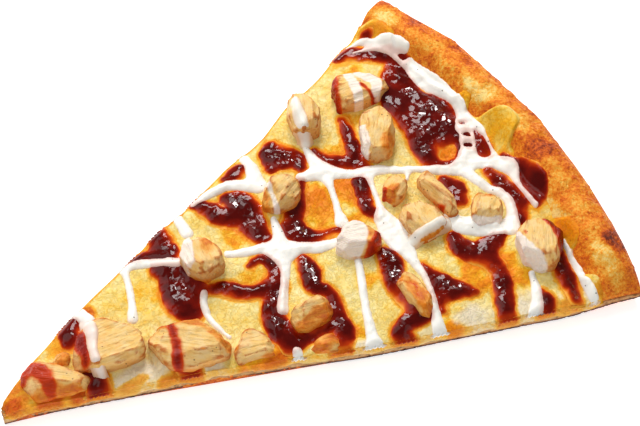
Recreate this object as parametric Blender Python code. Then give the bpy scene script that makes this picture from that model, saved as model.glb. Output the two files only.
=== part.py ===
"""One slice of barbecue chicken pizza, as closed solids in metres.

The slice lies flat, its point towards -X and its rim towards +X. Everything is laid out in plan
from the pizza's centre, where the point is, and at the end the whole slice is moved so that the
origin is the bottom centre of its box. Run it with: blender --background --python part.py
"""

import math

import bmesh
import bpy
from mathutils import Vector, noise

MM = 0.001

# The whole pizza, and the slice cut from it
PIZZA_RADIUS = 178.8 * MM
SLICE_ANGLE = math.radians(42)
HALF_ANGLE = SLICE_ANGLE / 2
POINT_RADIUS = 2 * MM  # the blunt point starts this far from the pizza's centre

# The dough: a thin flat bed and a low rounded rim
BED_THICKNESS = 3.2 * MM
RIM_WIDTH = 19 * MM
RIM_HEIGHT = 12.8 * MM
RIM_CREST = 8.5 * MM  # from the outer edge in to the highest line
RIM_LIFT = 3 * MM  # how far the underside curls up at the outer edge
RIM_CURL = 7 * MM  # the width of that curl
RIM_SIDE = 4.4 * MM  # height of the outermost line over the underside's
NEAR_PINCH = 0.62  # share of the rim's height that the cutting wheel presses down at the near cut
FAR_PINCH = 0.08
PINCH_REACH = 5.5 * MM
CORNER_LIFT = 2.2 * MM  # how far the near cut's base rises under the rim
CORNER_WIDTH = 24 * MM
RIM_SWELL = 1.1 * MM  # unevenness of the rim's height and outline
RIM_CRAGS = 0.5 * MM
POINT_TAPER = 26 * MM  # the slice thins over this length towards its point
POINT_SHARE = 1.1  # the dough's thickness at the point over that of the bed

# The cut sides aren't straight: (distance from the pizza's centre, how far the side stands out)
NEAR, FAR = -1, 1
CUT_LINES = {
    NEAR: (
        (0, 1.3 * MM), (9 * MM, 0.3 * MM), (30 * MM, 0), (56 * MM, -0.4 * MM), (76 * MM, 0),
        (103 * MM, 0.8 * MM), (130 * MM, 0.2 * MM), (152 * MM, -0.2 * MM), (178 * MM, -1.2 * MM),
    ),
    FAR: (
        (0, 0.3 * MM), (11 * MM, 1.5 * MM), (20 * MM, 2.3 * MM), (34 * MM, 2.6 * MM), (68 * MM, 2.1 * MM),
        (81 * MM, 0.5 * MM), (97 * MM, 0.2 * MM), (115 * MM, -1.3 * MM), (130 * MM, 0),
        (143 * MM, -1.2 * MM), (155 * MM, -0.3 * MM), (179 * MM, -0.2 * MM),
    ),
}

# The cheese, melted over the bed and up onto the rim
CHEESE_THICKNESS = 2.9 * MM
CHEESE_RADIUS = 165 * MM
CHEESE_EDGE = 0.9 * MM  # thickness at its own outer edge
CHEESE_TAPER = 7 * MM  # the width over which it thins out
CHEESE_LUMP = 0.8 * MM
GAP = 0.3 * MM  # between solids that touch

# Places where browned cheese has run further up the rim: (bearing in degrees, reach, half width)
CHEESE_TONGUES = (
    (1.1, 8 * MM, 5.6 * MM),
    (6.2, 3 * MM, 2.5 * MM),
    (-13.2, 3 * MM, 5 * MM),
    (-20.0, 3 * MM, 5 * MM),
    (18.5, 4 * MM, 6 * MM),
)

# Sauce drizzled over the cheese. Each strand is a route in plan: (x, y, width), in millimetres
DRIZZLE_HEIGHT = 1.25 * MM  # the most that a strand stands up
DRIZZLE_SLOPE = 0.55  # height over half width on a thin strand
DRIZZLE_RAISE = 0.2 * MM
STRAND_STEPS = 1
BARBECUE_STRANDS = {
    "point_spot": ((30, 15.5, 4.5), (28.3, 11.5, 6.5), (27, 7.5, 5)),
    "point_pool": ((25.5, -3.5, 2), (28, -6, 4), (26, -9.5, 6), (24, -12.5, 7)),
    "left_edge": ((65, 28.5, 4.5), (64, 24, 6), (63.4, 18.5, 6)),
    "left_hook": ((51.5, 23, 2), (56, 22.3, 3), (60, 20.2, 3), (63.5, 18, 4)),
    "left_pool": ((59.3, 15.5, 6), (61.5, 11.2, 9.5), (60.5, 6.2, 11.5), (58.2, 2, 8.5), (58.8, -2, 6)),
    "left_run": ((48.8, -13.5, 4.5), (49.2, -17.5, 5.5), (49, -22, 5)),
    "swan_neck": ((66, 2.5, 2), (70, 0.5, 4), (73, -3, 4.5), (77, -5.5, 4), (82, -7, 5)),
    "swan_loop": ((80.5, 2.5, 1.5), (84, 3.2, 2.5), (86, 1, 3.5), (85.5, -3, 4), (83, -7, 5)),
    "swan_body": ((83, -7, 5), (80, -11, 5.5), (77.5, -15, 6), (76.5, -20, 7), (76.5, -25, 6)),
    "swan_foot": ((79, -26, 3), (88.5, -26.5, 4), (91, -28.5, 6), (89, -32, 5), (85.5, -35.5, 5)),
    "middle_run": ((94.5, -4, 4.5), (93.5, -8.5, 5.5), (92, -12.5, 4.5), (94.7, -17, 3), (92.5, -24, 4)),
    "upper_slash": ((78.5, 29.5, 3), (80.5, 26, 5), (82.5, 22, 6), (86, 19.5, 7)),
    "upper_pool": ((87.5, 26, 4), (89.5, 22.5, 8), (89, 18, 9), (88.5, 13, 7), (88.5, 8.5, 4.5)),
    "upper_spot": ((90.5, 32, 2.5), (93.5, 32.5, 4.5), (96, 33.5, 3)),
    "upper_kite": ((108, 35, 5), (107.5, 31.5, 9), (111, 27.5, 6), (111, 23.5, 2.5)),
    "kite_corner": ((107, 31, 7), (103.5, 28.5, 3)),
    "centre_bow": (
        (108.5, 20, 2), (102.5, 12.5, 4), (98.5, 9, 6), (98, 4.5, 6.5), (102, 1.2, 4.5),
        (108, -0.3, 2),
    ),
    "valley_left": ((117.5, 27, 2), (119, 22, 4), (122.5, 18.5, 4.5), (126.5, 15, 4)),
    "valley_right": ((131, 32, 3), (129.3, 27, 3.5), (127.3, 21.5, 4.5), (126.5, 17, 4)),
    "centre_drop": ((122.5, 10, 5), (120.8, 5.5, 4), (119.3, 1, 4.2), (120.5, -2.5, 3)),
    "lower_run": ((114.5, -15, 5), (114, -19, 6.5), (110.5, -24, 3.5), (110.3, -30, 3), (110.8, -34, 3)),
    "lower_foot": ((112.5, -37.5, 4), (108, -36.5, 5), (104, -38, 5), (103.5, -43, 6)),
    "lower_comma": (
        (121.4, -23.3, 1.5), (121.5, -28, 4), (122.5, -32.8, 6.5), (126, -36.5, 4.5),
        (128.5, -38.5, 2),
    ),
    "top_sweep": (
        (142.6, 53, 2.5), (146.7, 53, 4.6), (150.3, 50.6, 5.4), (153.6, 47.6, 4.8), (155.8, 44.2, 4.6),
        (155.2, 40.5, 5.5), (154, 36.6, 7),
    ),
    "top_trunk": ((153.4, 37, 8), (151.2, 32, 12.5), (150.8, 26, 14), (152.4, 20, 17.5), (151.4, 16, 16.5)),
    "trunk_ring": (
        (155.5, 11, 6), (156.3, 7, 3.6), (154.6, 3.3, 2.8), (150.5, 1.4, 2.6), (146.3, 2.6, 3.4),
        (144.4, 6.5, 5.5), (146, 11.5, 8),
    ),
    "rim_wedge": ((161.3, 7.6, 1.6), (160.7, 4, 3.4), (159.6, 0.6, 5), (159.3, -1.2, 4)),
    "rim_leaf": (
        (162.6, -4.5, 1.2), (164.2, -10, 2.4), (164.2, -14, 5), (163.6, -18, 6.2), (162.6, -21.5, 5), (161.2, -24, 2),
    ),
    "inner_slot": (
        (156.5, -6.8, 3.4), (157, -11.5, 5), (157.6, -16.5, 5), (156.6, -20.5, 5),
        (154, -25.5, 3.4),
    ),
    "inner_drop": ((143.5, -2, 3), (144.5, -6, 5.5), (143, -11, 4)),
    "cross_bar": ((134, -20.5, 4), (134, -24.5, 6), (137, -28.5, 6.5), (142, -27.5, 5.5), (146, -27, 2.5)),
    "long_run": ((137.5, -29, 6), (138.4, -34, 5), (136.6, -40, 5.2), (133, -46.3, 4.6), (129.6, -53, 4.6)),
    "corner_run": ((155, -40.5, 4), (153.6, -45.4, 4.6), (152, -50.5, 4.4), (150.3, -55.5, 3.4)),
    "edge_smear": ((144, -48.5, 2), (143.3, -51.8, 4), (140.8, -55.5, 4.5)),
}
WHITE_STRANDS = {
    "rim_start": (
        (147.8, 55.4, 0.9), (152.2, 55.1, 1.8), (154.5, 52.3, 1.8), (156.7, 50.1, 2.4), (158, 48.2, 3.6),
        (159.6, 45.8, 4), (160.9, 43.4, 2.6),
    ),
    "rim_sweep": (
        (159.4, 38.8, 3.3), (159.6, 34.6, 5.1), (160.6, 29.8, 5.3), (162.1, 24.2, 3.8), (162.7, 19.2, 2.9),
        (162, 15.2, 3.5), (161.1, 12.2, 4.2), (159, 8, 3.4), (157.4, 4.5, 3), (155.4, 2.5, 2.4),
    ),
    "rim_turn": (
        (152, -0.5, 3), (155.5, -2.8, 4), (159.5, -5, 4.6), (162, -8.5, 4.4), (161.8, -11.5, 3),
        (160.6, -15, 1.6), (160.2, -24, 1.3),
    ),
    "rim_end": ((158.8, -38.5, 1.4), (157.4, -45, 2.6), (156, -51.5, 3.2), (155, -57.5, 4)),
    "upper_left": ((78, 29.7, 2), (84, 30.3, 3), (89.5, 29.8, 3.2), (94, 26.8, 4), (97, 24.5, 4)),
    "upper_cross": ((99, 36, 3), (98.8, 31.5, 4), (97, 26, 5)),
    "upper_right": (
        (109, 21, 3), (112.5, 20, 4), (116, 19, 5), (119.5, 15.8, 3.5), (124, 12.8, 3.2), (129, 11.2, 3.8),
        (133.5, 8.5, 2.4),
    ),
    "upper_spur": ((115.5, 19, 4), (115.5, 24, 3.5), (116, 29.5, 1.8)),
    "centre_spur": ((125.8, 11, 2.2), (124.3, 6, 1.6), (122.8, 1, 1.7), (121, -4, 3)),
    "right_bridge": ((133.3, 8.2, 1.6), (138, 6, 2), (143, 2.5, 3.2), (148.5, -0.8, 3.5), (153.5, 0.5, 4)),
    "right_loop": (
        (150, -1, 4), (151, -6, 3.2), (152.3, -11, 3), (154.7, -16, 2.8), (153.8, -21, 3),
        (149.5, -27, 4),
    ),
    "right_pool": ((137, -14, 3.5), (138.5, -18, 6), (142.5, -21.5, 6), (147, -24.5, 5.5), (150, -26, 4)),
    "long_stem": (
        (121, -4, 5), (120.9, -8.5, 7.5), (120.6, -13, 7.5), (120.4, -17.5, 4.6), (119.8, -22, 2.6),
        (119.5, -27, 1.8), (118, -32, 1.8), (116, -37, 2.2), (113.7, -41.5, 3.6), (112.3, -46, 4.8),
    ),
    "centre_left": (
        (77.5, 9.5, 2.5), (82, 7.2, 3), (87, 5.6, 3.6), (90.8, 2, 7), (96, 0.3, 3.6),
        (101, -2.5, 3.8), (106, -4, 3),
    ),
    "centre_up": ((94.5, 12.5, 2), (93.3, 8.5, 3), (91.3, 4, 4)),
    "centre_down": ((90, 1, 5), (88, -4, 3), (85.3, -8, 2.4), (82.3, -12, 3), (80.3, -15, 3.2)),
    "left_slash": ((50, 22, 2.2), (55, 20.3, 2.8), (60, 17, 3), (63.8, 14.2, 3.2)),
    "left_stem": ((50.4, 20.8, 1.8), (49, 15.5, 2), (46.8, 9.8, 2.2), (44.5, 5, 3)),
    "point_cap": ((32.4, 16.5, 4.2), (33.8, 11, 4)),
    "left_cap": ((71.8, 27.8, 3), (71.5, 22, 3.6)),
    "lower_stem": (
        (106.8, -12.5, 2), (104.5, -17.5, 2.3), (101, -24.5, 2.3), (98.5, -30, 2.6),
        (96.5, -35, 3.6), (95, -39, 6),
    ),
    "amber_stem": ((115.3, 17, 2.5), (113.8, 11, 1.8), (111.8, 5.5, 2.2), (110.5, 1.5, 4)),
    "edge_drop": ((76.8, -28, 2.8), (75.5, -31.5, 2.6)),
    "edge_stem": (
        (145.3, -42, 1.8), (143.6, -46, 2.6), (141, -50, 3.4), (138, -53.5, 4.4), (135.5, -58, 5.5),
    ),
}

# Chicken, cut and torn. Each piece is the outline of its top in plan and how high each of its
# corners stands over the cheese: (x, y, height), in millimetres
CHICKEN_SINK = 1.0 * MM  # how deep a piece sits in the cheese
CHICKEN_BEVEL = 0.8 * MM
CHICKEN_BULGE = 0.25 * MM  # how far the sides stand out beyond the outline
CHICKEN_PULL = 0.03  # how far the top is drawn in towards its middle
CHICKEN_LOFT = 1.08  # the pieces' heights are all raised by this
CHICKEN_SHOULDER = 0.62  # share of the height at which the sides start to draw in
CUT_MARGIN = 0.3 * MM  # from the dough's cut face in to that of the toppings
CHICKEN_PIECES = (
    ((9.2, 3.2, 2.6), (11.8, 5.8, 4), (15.6, 6.3, 4.8), (18.6, 3.6, 5), (19.4, 0.2, 4.2),
     (25.8, -4.9, 2.6), (24.4, -7.7, 2.4), (17, -7, 3.8), (10.6, -4.6, 2.6)),
    ((18.9, 2.6, 2.8), (19.9, 5.6, 3.4), (23.2, 6.2, 3.4), (24.2, 3.6, 3), (22.6, 1.2, 2.6)),
    ((33.8, 9.2, 5.2), (35.2, 8.8, 5.2), (43.6, -0.6, 6), (41.6, -7.4, 6), (35, -7.3, 6.2),
     (29.6, -5.6, 6), (23, -1, 4), (27, 5.2, 4.6)),
    ((43.8, -4.6, 4.4), (51.8, -3.2, 5.6), (57.8, -6.4, 6), (62.6, -16.8, 5.2), (60.4, -20.2, 4.4),
     (50, -17.8, 4.6), (45, -14.8, 4.4)),
    ((62.6, -19, 2.2), (65.3, -16, 3), (69.5, -15.8, 3.4), (71.5, -19.5, 3.3), (73.8, -23, 2.4),
     (72, -26.2, 2), (66, -25.2, 2), (61.3, -22.6, 1.6)),
    ((69.1, 18, 6), (73.4, 13.6, 7.4), (74.9, 8, 7.4), (73.6, 4.2, 6.4), (67, 4.2, 6.2),
     (64.2, 8, 6.8), (64.3, 13.8, 6.4)),
    ((95.3, 19.3, 5.6), (98, 22.2, 6.4), (102.5, 22, 7), (106.2, 18.6, 6.6), (105.2, 14.5, 5.4),
     (101, 12.2, 5.2), (96.3, 13, 4.8), (93.2, 16.5, 4.4)),
    ((117, 41.3, 7), (119.5, 43.9, 8), (123.4, 44, 8.3), (125.6, 41, 8.3), (124.8, 34.5, 7.5),
     (121, 30.8, 6.3), (117.3, 31.3, 6), (115.3, 34.5, 6.2)),
    ((131.5, 35, 3.8), (133.5, 42.3, 5.6), (137.2, 44.3, 6.2), (142.5, 42.5, 6.2), (148.5, 37.7, 5.2),
     (149, 34.4, 4.4), (143, 32, 5), (136.5, 32.4, 5.2)),
    ((128, 16.8, 5), (130.8, 22.5, 6.4), (133.5, 27.3, 6.8), (138, 28.6, 7), (141.6, 27.3, 6.8),
     (141.8, 23.5, 6.6), (139.2, 16.8, 6.4), (135, 12.3, 5), (130, 13.2, 4.8)),
    ((103, -7, 4.6), (106.5, -3.4, 5.6), (110.3, -1.6, 6.2), (114.8, -5.5, 6), (116.3, -9.5, 5),
     (114.5, -12.6, 4.4), (109.5, -13.2, 4.4), (105.2, -11.2, 4.4)),
    ((123.6, 0.3, 4), (126.3, 4.3, 5), (130.3, 5.5, 5.4), (132.8, 4.8, 4.8), (132.4, 0.6, 5.2),
     (129.6, -2, 4.8), (125.8, -3, 4.2)),
    ((124.2, -6.6, 4.8), (128.5, -5, 5.2), (132.8, -5.6, 5.2), (134.2, -11, 5.1), (134.2, -16.5, 4.2),
     (129, -17.8, 4), (123.8, -17, 3.8)),
    ((135.2, -1.2, 4.4), (136.4, 1.4, 5.2), (139.8, 1.5, 5.8), (140.4, -4, 5.8), (140.8, -10, 5.2),
     (139.5, -15, 4), (136.6, -14.8, 3.8), (135.9, -8, 4.4)),
    ((146.4, -12.8, 5.2), (151.6, -17.4, 5.2), (149.8, -22.2, 4.4), (146.5, -24.1, 3.6),
     (141.4, -20.6, 3.8), (142.3, -17, 4.8)),
    ((147.3, -31, 6), (150.5, -29.3, 6.8), (156, -29.3, 6.9), (158.8, -31.5, 6.4), (160, -36, 5.4),
     (157.2, -40.5, 5.6), (151.5, -44.8, 6), (147.2, -43, 5.6), (145, -38, 5.8)),
    ((80.3, -19, 5), (84, -16.4, 6), (88.2, -17.3, 6.6), (92, -20.3, 5.6), (91.5, -23.3, 4.4),
     (87, -25.2, 4.4), (82, -25, 4.4), (79.7, -22.3, 4.8)),
    ((78.6, -28.9, 2.8), (82, -27.6, 3.6), (86.8, -28.6, 3.6), (88.2, -31, 3), (86.5, -34, 2.2),
     (79.5, -31, 2.4)),
    ((111.5, -23.5, 3.2), (115.3, -23, 3.8), (116.8, -27, 3.8), (115.6, -32, 4.2), (115.8, -37, 3.3),
     (112.5, -38.8, 2.8), (110.5, -35, 3.2), (110.8, -29, 3.7)),
)

KNIFE_NAMES = {NEAR: "knife_near", FAR: "knife_far"}
KNIFE_MARGIN = 20 * MM  # how far the ground that is cut away reaches
KNIFE_STEPS = 44

# Grid divisions, which the dough and the cheese share, so that their faces stay parallel
ROWS = 26
ROW_CROWDING = 0.35  # how much closer the rows lie at the cut sides
BED_STEPS = 15
RIM_STEPS = 13
OUTLINE_STEPS = 40


def clear_scene():
    for old in list(bpy.data.objects):
        bpy.data.objects.remove(old, do_unlink=True)


def new_collection(name):
    made = bpy.data.collections.new(name)
    bpy.context.scene.collection.children.link(made)
    return made


def material(name, colour, roughness):
    made = bpy.data.materials.new(name)
    made.use_nodes = True
    shader = made.node_tree.nodes["Principled BSDF"]
    shader.inputs["Base Color"].default_value = (*colour, 1)
    shader.inputs["Roughness"].default_value = roughness
    shader.inputs["Metallic"].default_value = 0
    return made


def add_object(name, mesh, collection, finish=None):
    made = bpy.data.objects.new(name, mesh)
    collection.objects.link(made)
    if finish:
        mesh.materials.append(finish)
    mesh.shade_smooth()
    mesh.set_sharp_from_angle(angle=math.radians(40))
    return made


def blend(low, high, share):
    return low + (high - low) * share


def smooth(share):
    share = min(1.0, max(0.0, share))
    return share * share * (3 - 2 * share)


def ripple(x, y, size, layer):
    """A smooth wander from about -1 to 1, with features of the given size."""
    return noise.noise(Vector((x / size, y / size, layer)))


def cut_shift(along, side):
    """How far a cut side stands out from a straight one, at a distance from the pizza's centre."""
    knots = CUT_LINES[side]
    for (near, low), (far, high) in zip(knots, knots[1:]):
        if along <= far:
            return blend(low, high, smooth((along - near) / (far - near)))
    return knots[-1][1]


def in_plan(radius, turn):
    """Plan point at a radius, and a turn from -1 at the near cut side to 1 at the far one."""
    side = FAR if turn > 0 else NEAR
    bearing = turn * (HALF_ANGLE + cut_shift(radius, side) / radius)
    return radius * math.cos(bearing), radius * math.sin(bearing)


def crowd(row):
    """Moves an even row, from -1 to 1, so that the rows lie closer at the cut sides."""
    return row * (1 + ROW_CROWDING - ROW_CROWDING * row * row)


def to_side(x, y, side):
    """Distance from a plan point to one cut side."""
    inward = x * math.sin(HALF_ANGLE) - side * y * math.cos(HALF_ANGLE)
    return inward + cut_shift(math.hypot(x, y), side)


def to_cut(x, y):
    """Distance from a plan point to the nearer cut side."""
    return min(to_side(x, y, NEAR), to_side(x, y, FAR))


def pinched(x, y, side, share):
    """What is left of the rim's height beside one cut side."""
    return 1 - share * math.exp(-max(0.0, to_side(x, y, side)) / PINCH_REACH)


def outer_radius(x, y):
    """The rim's outline: a circle with shallow swells."""
    bearing = math.atan2(y, x)
    return PIZZA_RADIUS + RIM_SWELL * ripple(bearing * 7, 0, 1, 4.2)


def dough_top(x, y):
    radius = math.hypot(x, y)
    inward = outer_radius(x, y) - radius
    pressed = pinched(x, y, NEAR, NEAR_PINCH) * pinched(x, y, FAR, FAR_PINCH)
    swell = RIM_SWELL * ripple(x, y, 16 * MM, 1.7) + RIM_CRAGS * ripple(x, y, 6 * MM, 3.9)
    crest = (RIM_HEIGHT + swell) * pressed
    if inward < RIM_CREST:
        share = max(0.0, inward) / RIM_CREST
        side = RIM_LIFT + RIM_SIDE * pressed
        return blend(side, crest, math.sqrt(1 - (1 - share) ** 2))
    fall = smooth((inward - RIM_CREST) / (RIM_WIDTH - RIM_CREST))
    bed = BED_THICKNESS * blend(POINT_SHARE, 1, smooth(radius / POINT_TAPER))
    return blend(crest, bed, fall)


def dough_bottom(x, y):
    inward = outer_radius(x, y) - math.hypot(x, y)
    curl = RIM_LIFT * max(0.0, 1 - inward / RIM_CURL) ** 2
    beside = math.exp(-max(0.0, to_side(x, y, NEAR)) / PINCH_REACH)
    return max(curl, CORNER_LIFT * beside * smooth(1 - inward / CORNER_WIDTH))


def cheese_radius(turn):
    """The cheese's outline: an uneven arc with tongues up the rim."""
    bearing = turn * HALF_ANGLE
    radius = CHEESE_RADIUS + 1.8 * MM * ripple(bearing * 16, 0, 1, 8.1)
    for centre, reach, half_width in CHEESE_TONGUES:
        across = (bearing - math.radians(centre)) * CHEESE_RADIUS / half_width
        radius += reach * math.exp(-(across**4))
    return radius


def cheese_top(x, y):
    """Full thickness over the bed, thin at the point, the cut sides and wherever it climbs the rim."""
    radius = math.hypot(x, y)
    full = CHEESE_THICKNESS + CHEESE_LUMP * ripple(x, y, 15 * MM, 2.3)
    full -= 0.6 * MM * math.exp(-max(0.0, to_cut(x, y)) / (2.5 * MM))
    rise = smooth((CHEESE_RADIUS - radius) / CHEESE_TAPER) * smooth(0.35 + radius / POINT_TAPER)
    thickness = blend(CHEESE_EDGE, full, rise)
    return dough_top(x, y) + GAP + thickness


def cheese_bottom(x, y):
    return dough_top(x, y) + GAP


def below(x, y):
    """Clear of the slice, for the underside of a cutter."""
    return -10 * MM


def above(x, y):
    return 40 * MM


def slab(columns, rows, plan, bottom, top):
    """A closed sheet from a grid: plan maps (0..1, -1..1) to x and y, then both faces take their heights."""
    shape = bmesh.new()
    bmesh.ops.create_grid(shape, x_segments=columns, y_segments=rows, size=1)
    raised = bmesh.ops.extrude_face_region(shape, geom=shape.faces[:])["geom"]
    upper = {v for v in raised if isinstance(v, bmesh.types.BMVert)}
    for vertex in shape.verts:
        x, y = plan((vertex.co.x + 1) / 2, crowd(vertex.co.y))
        height = top if vertex in upper else bottom
        vertex.co = (x, y, height(x, y))
    bmesh.ops.recalc_face_normals(shape, faces=shape.faces[:])
    mesh = bpy.data.meshes.new("slab")
    shape.to_mesh(mesh)
    shape.free()
    return mesh


def crust_plan(along, turn):
    """Even steps over the bed, then closer ones over the rim, closest at its outer edge."""
    rim_start = PIZZA_RADIUS - RIM_WIDTH
    bed_share = BED_STEPS / (BED_STEPS + RIM_STEPS)
    if along <= bed_share:
        return in_plan(blend(POINT_RADIUS, rim_start, along / bed_share), turn)
    share = math.sin((along - bed_share) / (1 - bed_share) * math.pi / 2)
    edge = outer_radius(*in_plan(PIZZA_RADIUS, turn))
    return in_plan(blend(rim_start, edge, share), turn)


def outside_plan(along, turn):
    """The ground outside the cheese's outline, a little past both cut sides."""
    turn *= 1.1
    return in_plan(blend(cheese_radius(turn), PIZZA_RADIUS + KNIFE_MARGIN, along), turn)


def drape(mesh):
    """Lays a flat tube over the cheese, pressed down to a low ridge and kept clear of the dough."""
    for vertex in mesh.vertices:
        x, y, lift = vertex.co
        ridge = DRIZZLE_HEIGHT * math.tanh(DRIZZLE_SLOPE * lift / DRIZZLE_HEIGHT)
        lowest = cheese_bottom(x, y) + GAP
        vertex.co.z = max(lowest, cheese_top(x, y) + DRIZZLE_RAISE + ridge)


def strand(name, route, collection):
    """One strand of sauce: a tube along the route, as wide as the route says, then draped."""
    curve = bpy.data.curves.new(name, "CURVE")
    curve.dimensions = "3D"
    curve.bevel_depth = MM
    curve.bevel_resolution = 1
    curve.use_fill_caps = True
    curve.resolution_u = STRAND_STEPS
    spline = curve.splines.new("BEZIER")
    spline.bezier_points.add(len(route) - 1)
    for point, (x, y, width) in zip(spline.bezier_points, route):
        point.co = (x * MM, y * MM, 0)
        point.radius = width / 2
        point.handle_left_type = point.handle_right_type = "AUTO"
    guide = bpy.data.objects.new(name, curve)
    collection.objects.link(guide)
    bpy.context.view_layer.update()
    graph = bpy.context.evaluated_depsgraph_get()
    mesh = bpy.data.meshes.new_from_object(guide.evaluated_get(graph))
    bpy.data.objects.remove(guide)
    shape = bmesh.new()
    shape.from_mesh(mesh)
    bmesh.ops.remove_doubles(shape, verts=shape.verts, dist=0.01 * MM)
    shape.to_mesh(mesh)
    shape.free()
    drape(mesh)
    return add_object(name, mesh, collection)


def inside_cut(x, y):
    """The plan point itself, or the nearest one that is clear of the cut sides."""
    over = max(0.0, CUT_MARGIN - to_cut(x, y))
    return x + over * math.sin(HALF_ANGLE), y - math.copysign(over * math.cos(HALF_ANGLE), y)


def chicken_hull(corners):
    """An irregular cut piece, as the hull of its foot in the cheese, its shoulders and its top."""
    outline = [Vector((x * MM, y * MM)) for x, y, _ in corners]
    middle = sum(outline, Vector((0, 0))) / len(outline)
    ground = cheese_top(*middle)
    shape = bmesh.new()
    for point, (_, _, rise) in zip(outline, corners):
        foot = cheese_top(*point) - ground
        height = rise * CHICKEN_LOFT * MM + CHICKEN_SINK
        outward = (point - middle).normalized() * CHICKEN_BULGE
        top = point.lerp(middle, CHICKEN_PULL)
        levels = ((point, foot), (point + outward, CHICKEN_SHOULDER * height), (top, height))
        for place, level in levels:
            shape.verts.new((*inside_cut(*place), level))
    hull = bmesh.ops.convex_hull(shape, input=shape.verts[:])
    inner = [v for v in hull["geom_interior"] if isinstance(v, bmesh.types.BMVert)]
    bmesh.ops.delete(shape, geom=inner, context="VERTS")
    bmesh.ops.translate(shape, verts=shape.verts, vec=(-middle.x, -middle.y, 0))
    bmesh.ops.recalc_face_normals(shape, faces=shape.faces[:])
    return shape, middle


def finish_mesh(shape, name):
    mesh = bpy.data.meshes.new(name)
    shape.to_mesh(mesh)
    shape.free()
    return mesh


def chicken_mesh(shape):
    bmesh.ops.dissolve_limit(
        shape, angle_limit=math.radians(12), verts=shape.verts[:], edges=shape.edges[:]
    )
    bmesh.ops.bevel(
        shape, geom=shape.edges[:], offset=CHICKEN_BEVEL, segments=1, profile=0.6,
        affect="EDGES", clamp_overlap=True,
    )
    return finish_mesh(shape, "chicken")


def bed_mesh(shape):
    """The hollow that a piece of chicken leaves in the cheese: its own hull, a gap larger all round."""
    shape.normal_update()
    for vertex in shape.verts:
        vertex.co += vertex.normal * (GAP + 0.15 * MM)
    return finish_mesh(shape, "bed")


def hide(cutter):
    cutter.hide_render = True
    cutter.display_type = "WIRE"


def knife(side, collection):
    """The ground beyond a cut side, from just inside the dough's own face outwards."""
    direction = Vector((math.cos(HALF_ANGLE), side * math.sin(HALF_ANGLE)))
    outward = Vector((-math.sin(HALF_ANGLE), side * math.cos(HALF_ANGLE)))

    def plan(share, across):
        along = blend(-KNIFE_MARGIN, PIZZA_RADIUS + KNIFE_MARGIN, share)
        start = cut_shift(max(0.0, along), side) - CUT_MARGIN
        return direction * along + outward * blend(start, KNIFE_MARGIN, (across + 1) / 2)

    mesh = slab(KNIFE_STEPS, 1, plan, below, above)
    hide(add_object(KNIFE_NAMES[side], mesh, collection))


def boolean(target, operation, collection):
    """Applies one Boolean with a whole collection, then removes the collection's objects."""
    cut = target.modifiers.new(operation.lower(), "BOOLEAN")
    cut.operation = operation
    cut.solver = "MANIFOLD"
    cut.operand_type = "COLLECTION"
    cut.collection = collection
    bpy.context.view_layer.update()
    graph = bpy.context.evaluated_depsgraph_get()
    mesh = bpy.data.meshes.new_from_object(target.evaluated_get(graph))
    target.modifiers.clear()
    target.data = mesh
    for tool in list(collection.objects):
        bpy.data.objects.remove(tool)
    bpy.data.collections.remove(collection)


def keep_largest(target):
    """Drops loose scraps that a Boolean cut free."""
    shape = bmesh.new()
    shape.from_mesh(target.data)
    left = set(shape.verts)
    islands = []
    while left:
        found = {left.pop()}
        waiting = list(found)
        while waiting:
            vertex = waiting.pop()
            near = {edge.other_vert(vertex) for edge in vertex.link_edges} & left
            left -= near
            found |= near
            waiting.extend(near)
        islands.append(found)
    islands.sort(key=len)
    for scrap in islands[:-1]:
        bmesh.ops.delete(shape, geom=list(scrap), context="VERTS")
    shape.to_mesh(target.data)
    shape.free()


def build_crust(slice_parts, finish):
    mesh = slab(BED_STEPS + RIM_STEPS, ROWS, crust_plan, dough_bottom, dough_top)
    return add_object("crust", mesh, slice_parts, finish)


def build_chicken(slice_parts, cutters, finish):
    """Sets each piece in the cheese, and leaves a cutter for its bed in the cutters' collection."""
    pieces = []
    for number, corners in enumerate(CHICKEN_PIECES, 1):
        name = f"chicken_{number:02d}"
        shape, middle = chicken_hull(corners)
        piece = add_object(name, chicken_mesh(shape), slice_parts, finish)
        shape, middle = chicken_hull(corners)
        bed = add_object(name + "_bed", bed_mesh(shape), cutters)
        hide(bed)
        bottom = cheese_top(middle.x, middle.y) - CHICKEN_SINK
        piece.location = bed.location = (middle.x, middle.y, bottom)
        pieces.append(piece)
    return pieces


def build_cheese(slice_parts, cutters, finish):
    mesh = slab(BED_STEPS + RIM_STEPS, ROWS, crust_plan, cheese_bottom, cheese_top)
    cheese = add_object("cheese", mesh, slice_parts, finish)
    trim = new_collection("trim")
    outside = slab(1, OUTLINE_STEPS, outside_plan, below, above)
    add_object("outside", outside, trim)
    boolean(cheese, "DIFFERENCE", trim)
    drizzle = new_collection("drizzle")
    for name, route in BARBECUE_STRANDS.items():
        strand("barbecue_" + name, route, drizzle)
    for name, route in WHITE_STRANDS.items():
        strand("white_" + name, route, drizzle)
    boolean(cheese, "UNION", drizzle)
    for side in KNIFE_NAMES:
        knife(side, cutters)
    boolean(cheese, "DIFFERENCE", cutters)
    keep_largest(cheese)
    return cheese


def centre_on_base(parts):
    """Moves every solid so that the origin is the bottom centre of the slice's box."""
    bpy.context.view_layer.update()
    corners = [part.matrix_world @ v.co for part in parts for v in part.data.vertices]
    low = Vector([min(c[axis] for c in corners) for axis in range(3)])
    high = Vector([max(c[axis] for c in corners) for axis in range(3)])
    middle = (low + high) / 2
    for part in parts:
        part.location -= Vector((middle.x, middle.y, low.z))


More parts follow.
